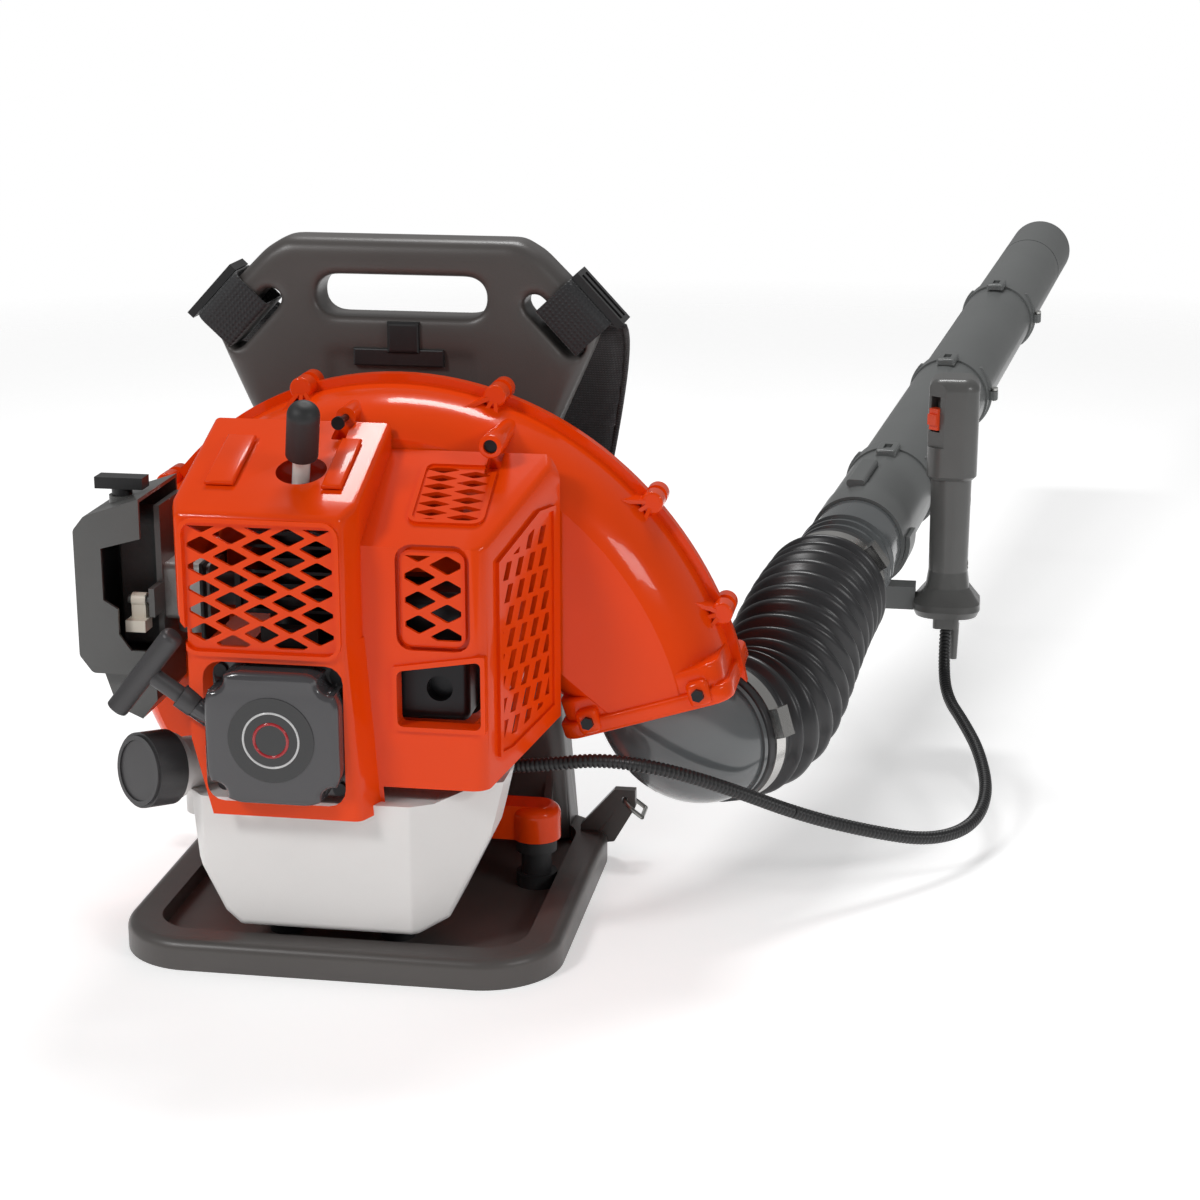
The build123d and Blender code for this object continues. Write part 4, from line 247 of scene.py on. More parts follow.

# %% [markdown]
# ## The throttle conduit
# The throttle cable runs from the engine to the hand grip in a split corrugated conduit, 10 mm
# across and 0.75 m long. It leaves a clip on the fan case, hangs in one long loop close to the
# ground and rises into the grip's sleeve. A bevelled curve would be smooth, so the conduit is a
# skin of rings that are carried along one smooth NURBS line through the CAD's own route. It is
# made in three lengths, cut at the three joints that it crosses.

# %% A smooth line through the conduit's points
conduit_points = [(.064, -.044, .119), (.100, -.045, .120), (.135, -.047, .124),
                  (.171, -.047, .130), (.212, -.041, .124), (.257, -.014, .102),
                  (.306, .030, .068), (.355, .062, .046), (.398, .095, .029),
                  (.429, .136, .026), (.440, .190, .034), (.432, .252, .046),
                  (.418, .308, .052), (.402, .358, .058), (.3975, .401, .074),
                  (.398, .415, .100)]


def traced(name, kind, points, radius=0.0, closed=False):
    """The mesh of a curve along the points, round where it has a radius."""
    curve = bpy.data.curves.new(name, "CURVE")
    curve.dimensions = "3D"
    curve.resolution_u = 24
    curve.bevel_depth = radius
    curve.bevel_resolution = 2
    curve.use_fill_caps = radius > 0
    spline = curve.splines.new(kind)
    spline.points.add(len(points) - 1)
    for point, place in zip(spline.points, points):
        point.co = (*place, 1)
    spline.order_u = 3
    spline.use_endpoint_u = True
    spline.use_cyclic_u = closed
    holder = into_scene(name, curve)
    bpy.context.view_layer.update()
    mesh = bpy.data.meshes.new_from_object(holder)
    bpy.data.objects.remove(holder)
    return mesh


def smooth_line(name, points):
    """The points of a NURBS curve that follows the given route."""
    mesh = traced(name, "NURBS", points)
    line = [v.co.copy() for v in mesh.vertices]
    bpy.data.meshes.remove(mesh)
    return line


# %% Distances and places along a line
def measured(line):
    """How far along the line each of its points is."""
    far = [0.0]
    for a, b in zip(line, line[1:]):
        far.append(far[-1] + (b - a).length)
    return far


def place_on(line, far, s):
    """The point at distance s, and the direction there."""
    i = min(max(int(np.searchsorted(far, s)) - 1, 0), len(line) - 2)
    step = far[i + 1] - far[i]
    t = (s - far[i]) / step if step > 1e-9 else 0.0
    before, after = line[max(i - 1, 0)], line[min(i + 2, len(line) - 1)]
    return line[i].lerp(line[i + 1], min(max(t, 0.0), 1.0)), (after - before).normalized()


conduit_line = smooth_line("conduit_route", conduit_points)
conduit_far = measured(conduit_line)
print("conduit length", round(conduit_far[-1], 3))


# %% A closed skin over rings
def smooth(piece):
    """Shades every face of the piece smooth."""
    for face in piece.data.polygons:
        face.use_smooth = True
    return piece


def from_faces(name, shape):
    """An object of the faces in a bmesh, all turned outwards."""
    bmesh.ops.recalc_face_normals(shape, faces=shape.faces)
    mesh = bpy.data.meshes.new(name)
    shape.to_mesh(mesh)
    shape.free()
    return into_scene(name, mesh)


def closed_form(name, rings):
    """A closed skin over rings of equally many points."""
    shape = bmesh.new()
    loops = [[shape.verts.new(point) for point in ring] for ring in rings]
    count = len(loops[0])
    for near, beyond in zip(loops, loops[1:]):
        for k in range(count):
            m = (k + 1) % count
            shape.faces.new((near[k], near[m], beyond[m], beyond[k]))
    shape.faces.new(list(reversed(loops[0])))
    shape.faces.new(loops[-1])
    return from_faces(name, shape)


def skin_along(name, line, far, rings, sides):
    """A closed tube of rings (distance, radius), carried along the line without twist."""
    up = Vector((0, 0, 1))
    angles = [2 * math.pi * k / sides for k in range(sides)]
    skin = []
    for s, r in rings:
        centre, ahead = place_on(line, far, s)
        right = ahead.cross(up).normalized()
        top = right.cross(ahead).normalized()
        skin.append([centre + (right * math.cos(a) + top * math.sin(a)) * r for a in angles])
    return smooth(closed_form(name, skin))


# %% Three lengths of corrugated conduit
CONDUIT_D = 0.010
CONDUIT_ROOT = 0.0041
RIB_PITCH = 0.0034
PATH_STEP = 0.004


def conduit_length(name, start, end):
    """One length of the conduit, and the points of its middle line."""
    ribs = round((end - start) / RIB_PITCH)
    pitch = (end - start) / ribs
    rings = []
    for i in range(ribs):
        s = start + i * pitch
        rings += [(s, CONDUIT_ROOT), (s + 0.28 * pitch, CONDUIT_D / 2),
                  (s + 0.68 * pitch, CONDUIT_D / 2), (s + 0.96 * pitch, CONDUIT_ROOT)]
    rings.append((end, CONDUIT_ROOT))
    piece = skin_along(name, conduit_line, conduit_far, rings, 14)
    piece.data.materials.append(black_moulding)
    return piece, [place_on(conduit_line, conduit_far, s)[0]
                   for s in (*np.arange(start, end, PATH_STEP), end)]


conduit_ends = [0.0, 0.27, 0.47, conduit_far[-1]]
# Each length's two bodies, and the path's points between which it bends: the clip holds the
# first 0.1 m of the conduit and the grip's sleeve its last points.
conduit_bends = [("machine", "hose", 25, -1), ("hose", "hose_end", 0, -1),
                 ("hose_end", "blow_tube", 0, -14)]
conduit_parts = []
for start, end, (near, beyond, first, last) in zip(conduit_ends, conduit_ends[1:],
                                                   conduit_bends):
    piece, path = conduit_length(f"throttle_conduit_{len(conduit_parts) + 1}", start, end)
    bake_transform(piece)
    conduit_parts.append(piece)
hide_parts("throttle_conduit")
print("conduit in", len(conduit_parts), "lengths")

# %% [markdown]
# ## The bellows
# The flexible hose between the elbow and the blow tube has thirteen deep round ribs and a smooth
# cuff at each end under its clamp. It is the same kind of skin as the conduit, with a rounder
# rib. It is made in two halves, which meet after the seventh rib.

# %% The hose's line and its ribs
CUFF = 0.024
RIBS = 13
NEAR_RIBS = 7
RIB_DEPTH = 7.4 * MM
elbow_end = Vector((0.2508, 0.0856, 0.1131))
elbow_way = unit(0.5, 0.866, 0.0)
tube_start = Vector((0.3263, 0.4447, 0.1820))
tube_way = unit(0.1513, 0.9821, 0.1120)
clamp_place = tube_start - tube_way * 0.137
hose_line = smooth_line("bellows_route",
                        [elbow_end + elbow_way * s for s in (-0.024, 0.0, 0.046)]
                        + [clamp_place + tube_way * s for s in (-0.096, -0.012, 0.016)])
hose_far = measured(hose_line)
hose_length = hose_far[-1]
rib_start, rib_end = CUFF + 0.002, hose_length - CUFF - 0.008
rib_pitch = (rib_end - rib_start) / RIBS
hose_split = rib_start + NEAR_RIBS * rib_pitch
print("bellows length", round(hose_length, 3), "rib pitch", round(rib_pitch, 4))


def rib_tip(i):
    """The radius of a rib's tip. The ribs grow smaller towards the tube."""
    return 0.0550 - 0.0040 * i / (RIBS - 1)


def rib_rings(first, last):
    """The rings (distance, radius) of some ribs, round at the tip and at the root."""
    half = ((0.0, RIB_DEPTH), (0.10, 7.2 * MM), (0.20, 5.6 * MM), (0.30, 2.4 * MM),
            (0.38, 0.7 * MM), (0.50, 0.0))
    rest = [(1 - share, depth) for share, depth in reversed(half[1:-1])]
    return [(rib_start + (i + share) * rib_pitch, rib_tip(i) - depth)
            for i in range(first, last) for share, depth in (*half, *rest)]


# %% Bellows
# Each half is a smooth cuff with a rounded lip, and its share of the ribs.
near_rings = [(0.0, 0.0474), (0.0002, 0.0499), (0.001, 0.0503), (0.023, 0.0503),
              (0.0245, 0.0498), *rib_rings(0, NEAR_RIBS),
              (hose_split, rib_tip(NEAR_RIBS) - RIB_DEPTH)]
far_rings = [*rib_rings(NEAR_RIBS, RIBS), (rib_end, 0.0436), (rib_end + 0.003, 0.0424),
             (rib_end + 0.006, 0.0418), (hose_length - 0.001, 0.0418),
             (hose_length - 0.0002, 0.0414), (hose_length, 0.0388)]
for name, rings, bodies, start, end in (
        ("bellows_near", near_rings, ("machine", "hose"), rib_start, hose_split),
        ("bellows_far", far_rings, ("hose", "hose_end"), hose_split, rib_end)):
    piece = skin_along(name, hose_line, hose_far, rings, 72)
    piece.data.materials.append(bellows_black)
    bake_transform(piece)
    if name == "bellows_near":
        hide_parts("bellows")
    print(name, len(piece.data.vertices), "points")

# %% [markdown]
# ## The harness
# Two curved foam pads hang from webbing at the frame's lobes, and a thick pad covers the back
# plate. Foam that is sewn into cloth bulges between its seams, which a bevelled block doesn't.
# So each pad starts as a thin closed form, is remeshed evenly, is blown up a little with cloth
# pressure, and then gets its piping, its sewn lines and its stitches.

# %% One piece at a time
def only(piece):
    """Selects the piece alone and makes it the active one."""
    bpy.ops.object.select_all(action="DESELECT")
    bpy.context.view_layer.objects.active = piece
    piece.select_set(True)


def applied(piece, kind, **settings):
    """Adds a modifier with the given settings and applies it."""
    only(piece)
    modifier = piece.modifiers.new(kind.lower(), kind)
    for key, value in settings.items():
        setattr(modifier, key, value)
    bpy.ops.object.modifier_apply(modifier=modifier.name)


def coordinates(piece):
    """The places of the piece's points, one row each."""
    flat = np.zeros(len(piece.data.vertices) * 3)
    piece.data.vertices.foreach_get("co", flat)
    return flat.reshape(-1, 3)


# %% Swelling a closed form like sewn foam
PRESSURE = 4.0
SWELL_FRAMES = 20


def swell(piece, cap, voxel):
    """Remeshes the piece and blows it up with cloth pressure, no point further than cap."""
    applied(piece, "REMESH", mode="VOXEL", voxel_size=voxel)
    before = coordinates(piece)
    cloth = piece.modifiers.new("cloth", "CLOTH")
    cloth.settings.use_pressure = True
    cloth.settings.uniform_pressure_force = PRESSURE
    cloth.settings.effector_weights.gravity = 0
    for step in range(1, SWELL_FRAMES + 1):
        bpy.context.scene.frame_set(step)
    bpy.context.view_layer.objects.active = piece
    bpy.ops.object.modifier_apply(modifier=cloth.name)
    move = coordinates(piece) - before
    far = np.linalg.norm(move, axis=1, keepdims=True)
    held = before + move * np.minimum(1, cap / np.maximum(far, 1e-9))
    piece.data.vertices.foreach_set("co", held.ravel())
    bpy.context.scene.frame_set(1)
    applied(piece, "SUBSURF", levels=1, render_levels=1)
    smooth(piece)
    print(piece.name, len(piece.data.vertices), "points")


# %% What a new piece is made of and what carries it
def outfit(piece, material, body):
    """Gives a piece its material and the body that it rides on."""
    piece.data.materials.clear()
    piece.data.materials.append(material)
    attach(piece, body)
    return piece


def fixed_to(parent, piece, material):
    """Gives a piece its material and fixes it to the piece that carries it."""
    piece.data.materials.clear()
    piece.data.materials.append(material)
    piece.parent = parent


# %% Straps
def ribbon(name, places, width, thick, closed=False):
    """A strap through (centre, outward, across) places, with its length and width as UV."""
    shape = bmesh.new()
    weave = shape.loops.layers.uv.new("weave")
    section = [(-0.5, -0.35), (-0.47, -0.5), (0.47, -0.5), (0.5, -0.35), (0.5, 0.35),
               (0.47, 0.5), (-0.47, 0.5), (-0.5, 0.35)]
    loops = [[shape.verts.new(centre + across * a * width + outward * b * thick)
              for a, b in section] for centre, outward, across in places]
    centres = [place[0] for place in places]
    pairs = [(i, i + 1) for i in range(len(loops) - 1)]
    if closed:
        centres.append(centres[0])
        pairs.append((len(loops) - 1, 0))
    far = measured(centres)
    for i, j in pairs:
        for k in range(len(section)):
            m = (k + 1) % len(section)
            face = shape.faces.new((loops[i][k], loops[i][m], loops[j][m], loops[j][k]))
            end = far[i + 1]
            for corner, (s, c) in zip(face.loops, ((far[i], k), (far[i], m), (end, m), (end, k))):
                corner[weave].uv = (s, section[c][0] * width)
    if not closed:
        shape.faces.new(list(reversed(loops[0])))
        shape.faces.new(loops[-1])
    return smooth(from_faces(name, shape))


# %% Piping and stitches
def round_line(name, points, radius):
    """A thin round cord in a closed loop, as piping."""
    return smooth(into_scene(name, traced(name, "POLY", points, radius, closed=True)))


def stitches(name, places, long=0.0026, thick=0.0005):
    """One small thread dash at each (centre, way, outward) place."""
    shape = bmesh.new()
    for centre, way, outward in places:
        side = way.cross(outward).normalized()
        top, base = [], []
        for a, b in ((-0.5, -0.3), (0.5, -0.3), (0.5, 0.3), (-0.5, 0.3)):
            at = centre + way * a * long + side * b * thick * 2
            base.append(shape.verts.new(at))
            top.append(shape.verts.new(at + outward * thick - way * a * long * 0.25))
        shape.faces.new(top)
        shape.faces.new(list(reversed(base)))
        for k in range(4):
            m = (k + 1) % 4
            shape.faces.new((base[k], base[m], top[m], top[k]))
    return from_faces(name, shape)


# %% [markdown]
# ## Shoulder pads
# A shoulder pad is a long cushion that bows away from the back plate. Its places are given by
# an angle along that bow, a distance across it and a height over its middle, so that the strap,
# the piping and the stitches can lie on it at the same places.

# %% Places on a shoulder pad
PAD_RADIUS = 0.2015
PAD_HALF = math.radians(54.3)
PAD_LEAN = math.radians(12.0)
PAD_HALF_WIDE = 0.0302
PAD_HALF_THICK = 0.0046


def shoulder_place(side, angle, across, out):
    """A point of a shoulder pad, and there the ways outward, across and ahead."""
    up = Vector((side * math.sin(PAD_LEAN), 0, math.cos(PAD_LEAN)))
    wide = Vector((math.cos(PAD_LEAN), 0, -side * math.sin(PAD_LEAN)))
    way = Vector((0, math.cos(angle), 0)) + up * math.sin(angle)
    middle = Vector((side * 0.100, 0.0235, 0.250))
    return (middle + way * (PAD_RADIUS + out) + wide * across, way, wide,
            up * math.cos(angle) - Vector((0, math.sin(angle), 0)))


def squared(value):
    """Turns a sine or cosine into that of a boxy oval."""
    return math.copysign(abs(value) ** 0.4, value)


def narrowed(t):
    """A pad narrows a little towards its ends, where t is -1 and 1."""
    return 1 - 0.10 * abs(t) ** 10


def thinned(t):
    """A pad's thickness falls to a quarter at its ends."""
    return (1 - abs(t) ** 12) ** 0.5 * 0.75 + 0.25


# %% Shoulder pads
PIPING_AT = 0.0288
# The rows of stitches: across the pad, reach along it, count, and height over its middle.
STITCH_ROWS = ((-0.0128, 0.91, 90, 0.0071), (0.0128, 0.91, 90, 0.0071),
               (-0.0262, 0.93, 92, 0.0034), (0.0262, 0.93, 92, 0.0034))


def cushion(side, name):
    """The foam of a pad: boxy ovals along its bow, remeshed and swollen."""
    angles = [2 * math.pi * k / 24 for k in range(24)]
    rings = []
    for t in np.linspace(-1, 1, 41):
        wide, tall = PAD_HALF_WIDE * narrowed(t), PAD_HALF_THICK * thinned(t)
        rings.append([shoulder_place(side, t * PAD_HALF * 0.985, squared(math.cos(a)) * wide,
                                     squared(math.sin(a)) * tall)[0] for a in angles])
    pad = closed_form(name, rings)
    swell(pad, cap=0.0022, voxel=0.004)
    return pad


def shoulder_pad(side, name):
    """One pad with its piping, its strap and four rows of stitches."""
    pad = cushion(side, name)
    outfit(pad, pad_cloth, "machine")
    edge = [shoulder_place(side, t * PAD_HALF * 0.975, sign * PIPING_AT * narrowed(t), 0)[0]
            for sign in (1, -1) for t in np.linspace(-sign, sign, 60)]
    fixed_to(pad, round_line(name + "_piping", edge, 0.0022), webbing)
    strap = [shoulder_place(side, t * PAD_HALF, 0, 0.0064)[:3]
             for t in np.linspace(-0.93, 0.93, 50)]
    fixed_to(pad, ribbon(name + "_strap", strap, 0.030, 0.0014), webbing)
    sewn = []
    for across, reach, count, out in STITCH_ROWS:
        for t in np.linspace(-reach, reach, count):
            at, way, _, ahead = shoulder_place(side, t * PAD_HALF, across, out)
            sewn.append((at, ahead, way))
    fixed_to(pad, stitches(name + "_stitches", sewn), thread_black)
    return pad


pad_right = shoulder_pad(1, "shoulder_pad_right")
shoulder_pad(-1, "shoulder_pad_left")
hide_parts("shoulder_pads")

# %% [markdown]
# ## Back pad
# The back pad is a rounded cushion in four fields. It starts as a stack of rounded outlines. Once
# it is swollen, three seams are pressed in as narrow valleys, and stitches run along them.

# %% Back pad
PAD_MIDDLE = 0.246
SEAMS = (0.182, PAD_MIDDLE, 0.310)


def back_outline(inset, y):
    """The pad's rounded outline at the given depth, drawn in by the inset."""
    half_x, half_z, r = 0.0915 - inset, 0.1265 - inset, 0.030
    ring = []
    for cx, cz, start in ((1, 1, 0), (-1, 1, 90), (-1, -1, 180), (1, -1, 270)):
        for k in range(8):
            a = math.radians(start + k * 90 / 7)
            ring.append(Vector((cx * (half_x - r) + r * math.cos(a), y,
                                PAD_MIDDLE + cz * (half_z - r) + r * math.sin(a))))
    return ring


back_pad = closed_form("back_pad_cloth", [
    back_outline(inset, y) for inset, y in
    ((0.006, 0.1358), (0.002, 0.1362), (0.0, 0.1385), (0.0, 0.1420), (0.003, 0.1490),
     (0.010, 0.1530), (0.024, 0.1545))])
swell(back_pad, cap=0.0035, voxel=0.005)
places = coordinates(back_pad)
outer = np.clip((places[:, 1] - 0.142) / 0.008, 0, 1)
for z in SEAMS:
    places[:, 1] -= outer * 0.0060 * np.exp(-((places[:, 2] - z) / 0.0042) ** 2)
places[:, 1] = np.clip(places[:, 1], 0.1354, 0.1592)
back_pad.data.vertices.foreach_set("co", places.ravel())
back_pad.data.update()
outfit(back_pad, pad_cloth, "machine")
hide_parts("back_pad")
fixed_to(back_pad, round_line("back_pad_piping", back_outline(-0.0004, 0.1400), 0.0017), webbing)
fixed_to(back_pad, stitches("back_pad_stitches", [
    (Vector((x, 0.1485, z)), Vector((1, 0, 0)), Vector((0, 1, 0)))
    for z in SEAMS for x in np.linspace(-0.080, 0.080, 46)], long=0.0022), thread_black)
print("back pad in", len(SEAMS) + 1, "fields")

# %% [markdown]
# ## Webbing
# Each lobe of the frame has a slanted slot. The webbing goes through it and round the lobe's
# outer bar, and a ladder lock on its outer run holds the pad's height. A flat plane would show
# no edge, so a strap has real thickness and soft corners, and its weave follows its length.

# %% Webbing loops and lower webs
WEB_THICK = 0.0018


def upper_web(side, name):
    """A closed loop round the lobe's outer bar, with a bend at each of its four corners."""
    tilt = math.radians(47.0)
    wide = Vector((math.cos(tilt), 0, -side * math.sin(tilt)))
    out = Vector((side * math.sin(tilt), 0, math.cos(tilt)))
    start = Vector((side * 0.113, 0, 0.408)) + wide * (side * 0.005)
    near, rear, low, high = 0.0957, 0.1363, -0.001, 0.032
    # Each corner: its y, its height along out, its bend's radius and the bend's middle angle.
    corners = [(near, low, 0.002, 225), (rear, low, 0.002, 315), (rear, high, 0.003, 45),
               (near, high, 0.008, 135)]
    places = []
    for y, o, r, mid in corners:
        cy = y + (r if y == near else -r)
        co = o + (r if o == low else -r)
        for a in (mid - 45, mid - 22, mid, mid + 22, mid + 45):
            way = Vector((0, math.cos(math.radians(a)), 0)) + out * math.sin(math.radians(a))
            places.append((start + Vector((0, cy, 0)) + out * co + way * r, way, wide))
    strap = ribbon(name, places, 0.0435, WEB_THICK, closed=True)
    return outfit(strap, webbing, "machine")


def lower_web(side, name):
    """A short upright strap between the back pad and the tray."""
    places = [(Vector((side * 0.066, 0.1363, z)), Vector((0, 1, 0)), Vector((1, 0, 0)))
              for z in np.linspace(0.0605, 0.0965, 7)]
    outfit(ribbon(name, places, 0.0275, WEB_THICK), webbing, "machine")


web_right = upper_web(1, "upper_web_right")
upper_web(-1, "upper_web_left")
lower_web(1, "lower_web_right")
lower_web(-1, "lower_web_left")
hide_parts("strap_webs")
print("webbing on both lobes")

# %% [markdown]
# ## The starter's rope
# The rope comes out of the starter's eyelet and ends in the pull grip. It is drawn as one
# straight line that reaches into both, and a fine saw-tooth radius gives it the look of a laid
# rope.

# %% Starter rope
ROPE_D = 0.0035
rope_exit = Vector((-0.0875, -0.1435, 0.187))
pull_way = unit(-0.78, -0.14, 0.61)
rope_line = [rope_exit + pull_way * s for s in np.linspace(-0.022, 0.012, 60)]
rope_far = measured(rope_line)
rope_rings = [(s, ROPE_D / 2 - 0.00022 * (i % 2))
              for i, s in enumerate(np.linspace(0, rope_far[-1], 41))]
rope = skin_along("starter_rope_cord", rope_line, rope_far, rope_rings, 12)
rope.data.materials.append(thread_black)
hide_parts("starter_rope")
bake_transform(rope)
print("rope", round(rope_far[-1], 3))

# %% [markdown]
# ## The engine cover
# A moulded cover has no sharp edge anywhere. Bevelling a copy of the solid with all its openings
# tears at the small faces. So its outer form is cut from three blocks by planes, every outer
# edge is rounded, and the same blocks drawn in by the wall make it hollow. Then the sunk
# grilles, the starter's opening, the plug hole and the exhaust window are cut in.

# %% Blocks cut by planes, in millimetres
def box(name, x0, x1, y0, y1, z0, z1):
    """A block between the given limits."""
    bpy.ops.object.select_all(action="DESELECT")
    bpy.ops.mesh.primitive_cube_add(size=1, location=((x0 + x1) / 2 * MM, (y0 + y1) / 2 * MM,
                                                      (z0 + z1) / 2 * MM))
    made = bpy.context.object
    made.name = name
    made.scale = ((x1 - x0) * MM, (y1 - y0) * MM, (z1 - z0) * MM)
    bpy.ops.object.transform_apply(location=True, rotation=True, scale=True)
    return made


def cut(piece, *planes):
    """Cuts away what lies beyond each plane, given as a point and a direction."""
    only(piece)
    bpy.ops.object.mode_set(mode="EDIT")
    for point, way in planes:
        bpy.ops.mesh.select_all(action="SELECT")
        bpy.ops.mesh.bisect(plane_co=[c * MM for c in point], plane_no=way, use_fill=True,
                            clear_outer=True)
    bpy.ops.mesh.select_all(action="SELECT")
    bpy.ops.mesh.normals_make_consistent(inside=False)
    bpy.ops.object.mode_set(mode="OBJECT")
    return piece


# %% Rounded edges
def bevelled(piece, radius, picked, segments=4):
    """Rounds the edges that the test picks."""
    only(piece)
    bpy.ops.object.mode_set(mode="EDIT")
    bpy.ops.mesh.select_mode(type="EDGE")
    bpy.ops.mesh.select_all(action="DESELECT")
    bpy.ops.object.mode_set(mode="OBJECT")
    for edge in piece.data.edges:
        edge.select = bool(picked(edge))
    bpy.ops.object.mode_set(mode="EDIT")
    bpy.ops.mesh.bevel(offset=radius * MM, segments=segments, profile=0.5, clamp_overlap=True)
    bpy.ops.object.mode_set(mode="OBJECT")
    return piece


def rounded(piece, radius, wanted, segments=4):
    """Rounds the edges whose two ends, in millimetres, and direction the test accepts."""
    def picked(edge):
        a, b = (piece.data.vertices[k].co * 1000 for k in edge.vertices)
        return wanted(a, b, (b - a).normalized())

    return bevelled(piece, radius, picked, segments)


def along_y(a, b, way):
    """Accepts the edges that run along y."""
    return abs(way.y) > 0.9


def along_z(a, b, way):
    """Accepts the edges that run along z."""
    return abs(way.z) > 0.9


# %% Joining and cutting
def combine(piece, operation, *others):
    """Joins, cuts or intersects with other pieces, which are used up."""
    for other in others:
        applied(piece, "BOOLEAN", operation=operation, solver="EXACT", object=other)
        bpy.data.objects.remove(other)
    return piece


# %% The cover's hollow form
WALL = 3
COVER_BACK = -34.0
COVER_TOP = 400
MAIN_FRONT, MAIN_FOOT = -150, 112
COLUMN_FRONT, COLUMN_FOOT = -128, 130


def main_form(w, past, radius):
    """The wide front block, drawn in by w and run past its open sides."""
    back = COVER_BACK + past

    def outer(a, b, way):
        open_side = min(a.y, b.y) > back - 1 or max(a.z, b.z) < MAIN_FOOT + 1
        return not open_side and max(a.x, b.x) < 45

    def front_corner(a, b, way):
        return (outer(a, b, way) and abs(way.z) > 0.5 and min(a.y, b.y) < MAIN_FRONT + 10
                and min(a.x, b.x) > -20)

    upper = cut(box("upper", -105 + w, 27 - w, MAIN_FRONT + w, back, MAIN_FOOT - past, COVER_TOP),
                ((0, -142, 325 - w), (0, -0.339, 0.941)),
                ((-97 + w, MAIN_FRONT, 0), unit(-20, -8, 0)),
                ((18 - w, MAIN_FRONT, 0), unit(22, -9, 0)))
    lower = cut(box("lower", -60 + w, 60, MAIN_FRONT + w, back, MAIN_FOOT - past, 235),
                ((27 - w, -128, 235), unit(22, -9, 1.6)))
    return combine(rounded(upper, radius, outer), "UNION", rounded(lower, radius, front_corner))


def column_form(w, past, radius):
    """The narrow column and the slanted side."""
    back = COVER_BACK + past

    def outer(a, b, way):
        open_side = min(a.y, b.y) > back - 1 or max(a.z, b.z) < COLUMN_FOOT + 1
        return not open_side and min(a.x, b.x) > 20

    column = cut(box("column", 12, 150 - w, COLUMN_FRONT + w, back, COLUMN_FOOT - past,
                     COVER_TOP),
                 ((0, -120, 303 - w), Vector((0, -0.447, 0.894))),
                 ((111 - w * 1.2, -119, 0), unit(85, -34, 0)),
                 ((99 - w * 0.8, COLUMN_FRONT, 0), unit(9, -12, 0)),
                 ((108 + past, 0, COLUMN_FOOT - past), unit(33, 0, -42)),
                 ((150 - w, 0, 318), unit(32, 0, 16)))
    return rounded(column, radius, outer)


def cover_form(w, past, radius):
    """Both blocks of the cover as one."""
    return combine(main_form(w, past, radius), "UNION", column_form(w, past, radius))


cover = cover_form(0, 0, 7.0)
combine(cover, "DIFFERENCE", cover_form(WALL, 20, 4.5))
print("hollow cover", len(cover.data.vertices), "points")

# %% [markdown]
# Three of the cover's grilles are fields of lozenges, sunk behind a rounded rim. One lozenge is
# modelled and copied in staggered rows. The rows are cut from a tray, and the tray is set into a
# mouth in the cover, because a grille cut straight into the wall would have no rim.

# %% Copies and places
def copies(piece, places):
    """One joined piece with a copy at each place, given from the first."""
    made = []
    for place in places:
        only(piece)
        bpy.ops.object.duplicate()
        bpy.ops.transform.translate(value=[c * MM for c in place])
        made.append(bpy.context.object)
    bpy.data.objects.remove(piece)
    bpy.ops.object.select_all(action="DESELECT")
    for one in made:
        one.select_set(True)
    bpy.context.view_layer.objects.active = made[0]
    bpy.ops.object.join()
    bpy.ops.object.transform_apply(location=True, rotation=True, scale=True)
    return bpy.context.object


def moved(piece, place, turn=(0, 0, 0)):
    """Turns a piece and puts it at its place, which its mesh then holds."""
    piece.location = [c * MM for c in place]
    piece.rotation_euler = turn
    only(piece)
    bpy.ops.object.transform_apply(location=True, rotation=True, scale=True)
    return piece


# %% Lozenges, trays and mouths
CELL_DEEP = 40
RIM = 3


def lozenges(wide, tall, columns, rows, pitch_x, pitch_z, top):
    """Diamond prisms along y with blunt corners, every second column lower by half a step."""
    bpy.ops.object.select_all(action="DESELECT")
    bpy.ops.mesh.primitive_cylinder_add(vertices=4, radius=1, depth=CELL_DEEP * MM)
    cell = bpy.context.object
    cell.rotation_euler = (math.radians(90), 0, 0)
    cell.scale = (wide * 0.56 * MM, tall * 0.56 * MM, 1)
    bpy.ops.object.transform_apply(location=True, rotation=True, scale=True)
    rounded(cell, 1.3, along_y, segments=2)
    return copies(cell, [((j - (columns - 1) / 2) * pitch_x, 0, top - (k + 0.5 * (j % 2)) * pitch_z)
                         for j in range(columns) for k in range(rows)])


def tray(name, wide, tall, corner, deep, cells, clip):
    """A grille's tray with its floor opened by cells, and its mouth. Its face is at y = 0."""
    def block(rim, y0, y1):
        x, z = wide / 2 + rim, tall / 2 + rim
        return rounded(box(name, -x, x, y0, y1, -z, z), corner + rim, along_y)

    made = combine(block(RIM, 0.6, deep + 3), "DIFFERENCE", block(0, -5, deep))
    limit = box("limit", -clip[0] / 2, clip[0] / 2, -20, 40, -clip[1] / 2, clip[1] / 2)
    combine(made, "DIFFERENCE", combine(cells, "INTERSECT", limit))
    return made, block(0, -9, deep + 2)


def set_in(made, mouth, place, turn=(0, 0, 0)):
    """Cuts a mouth into the cover and sets a grille into it."""
    combine(cover, "DIFFERENCE", moved(mouth, place, turn))
    combine(cover, "UNION", moved(made, place, turn))


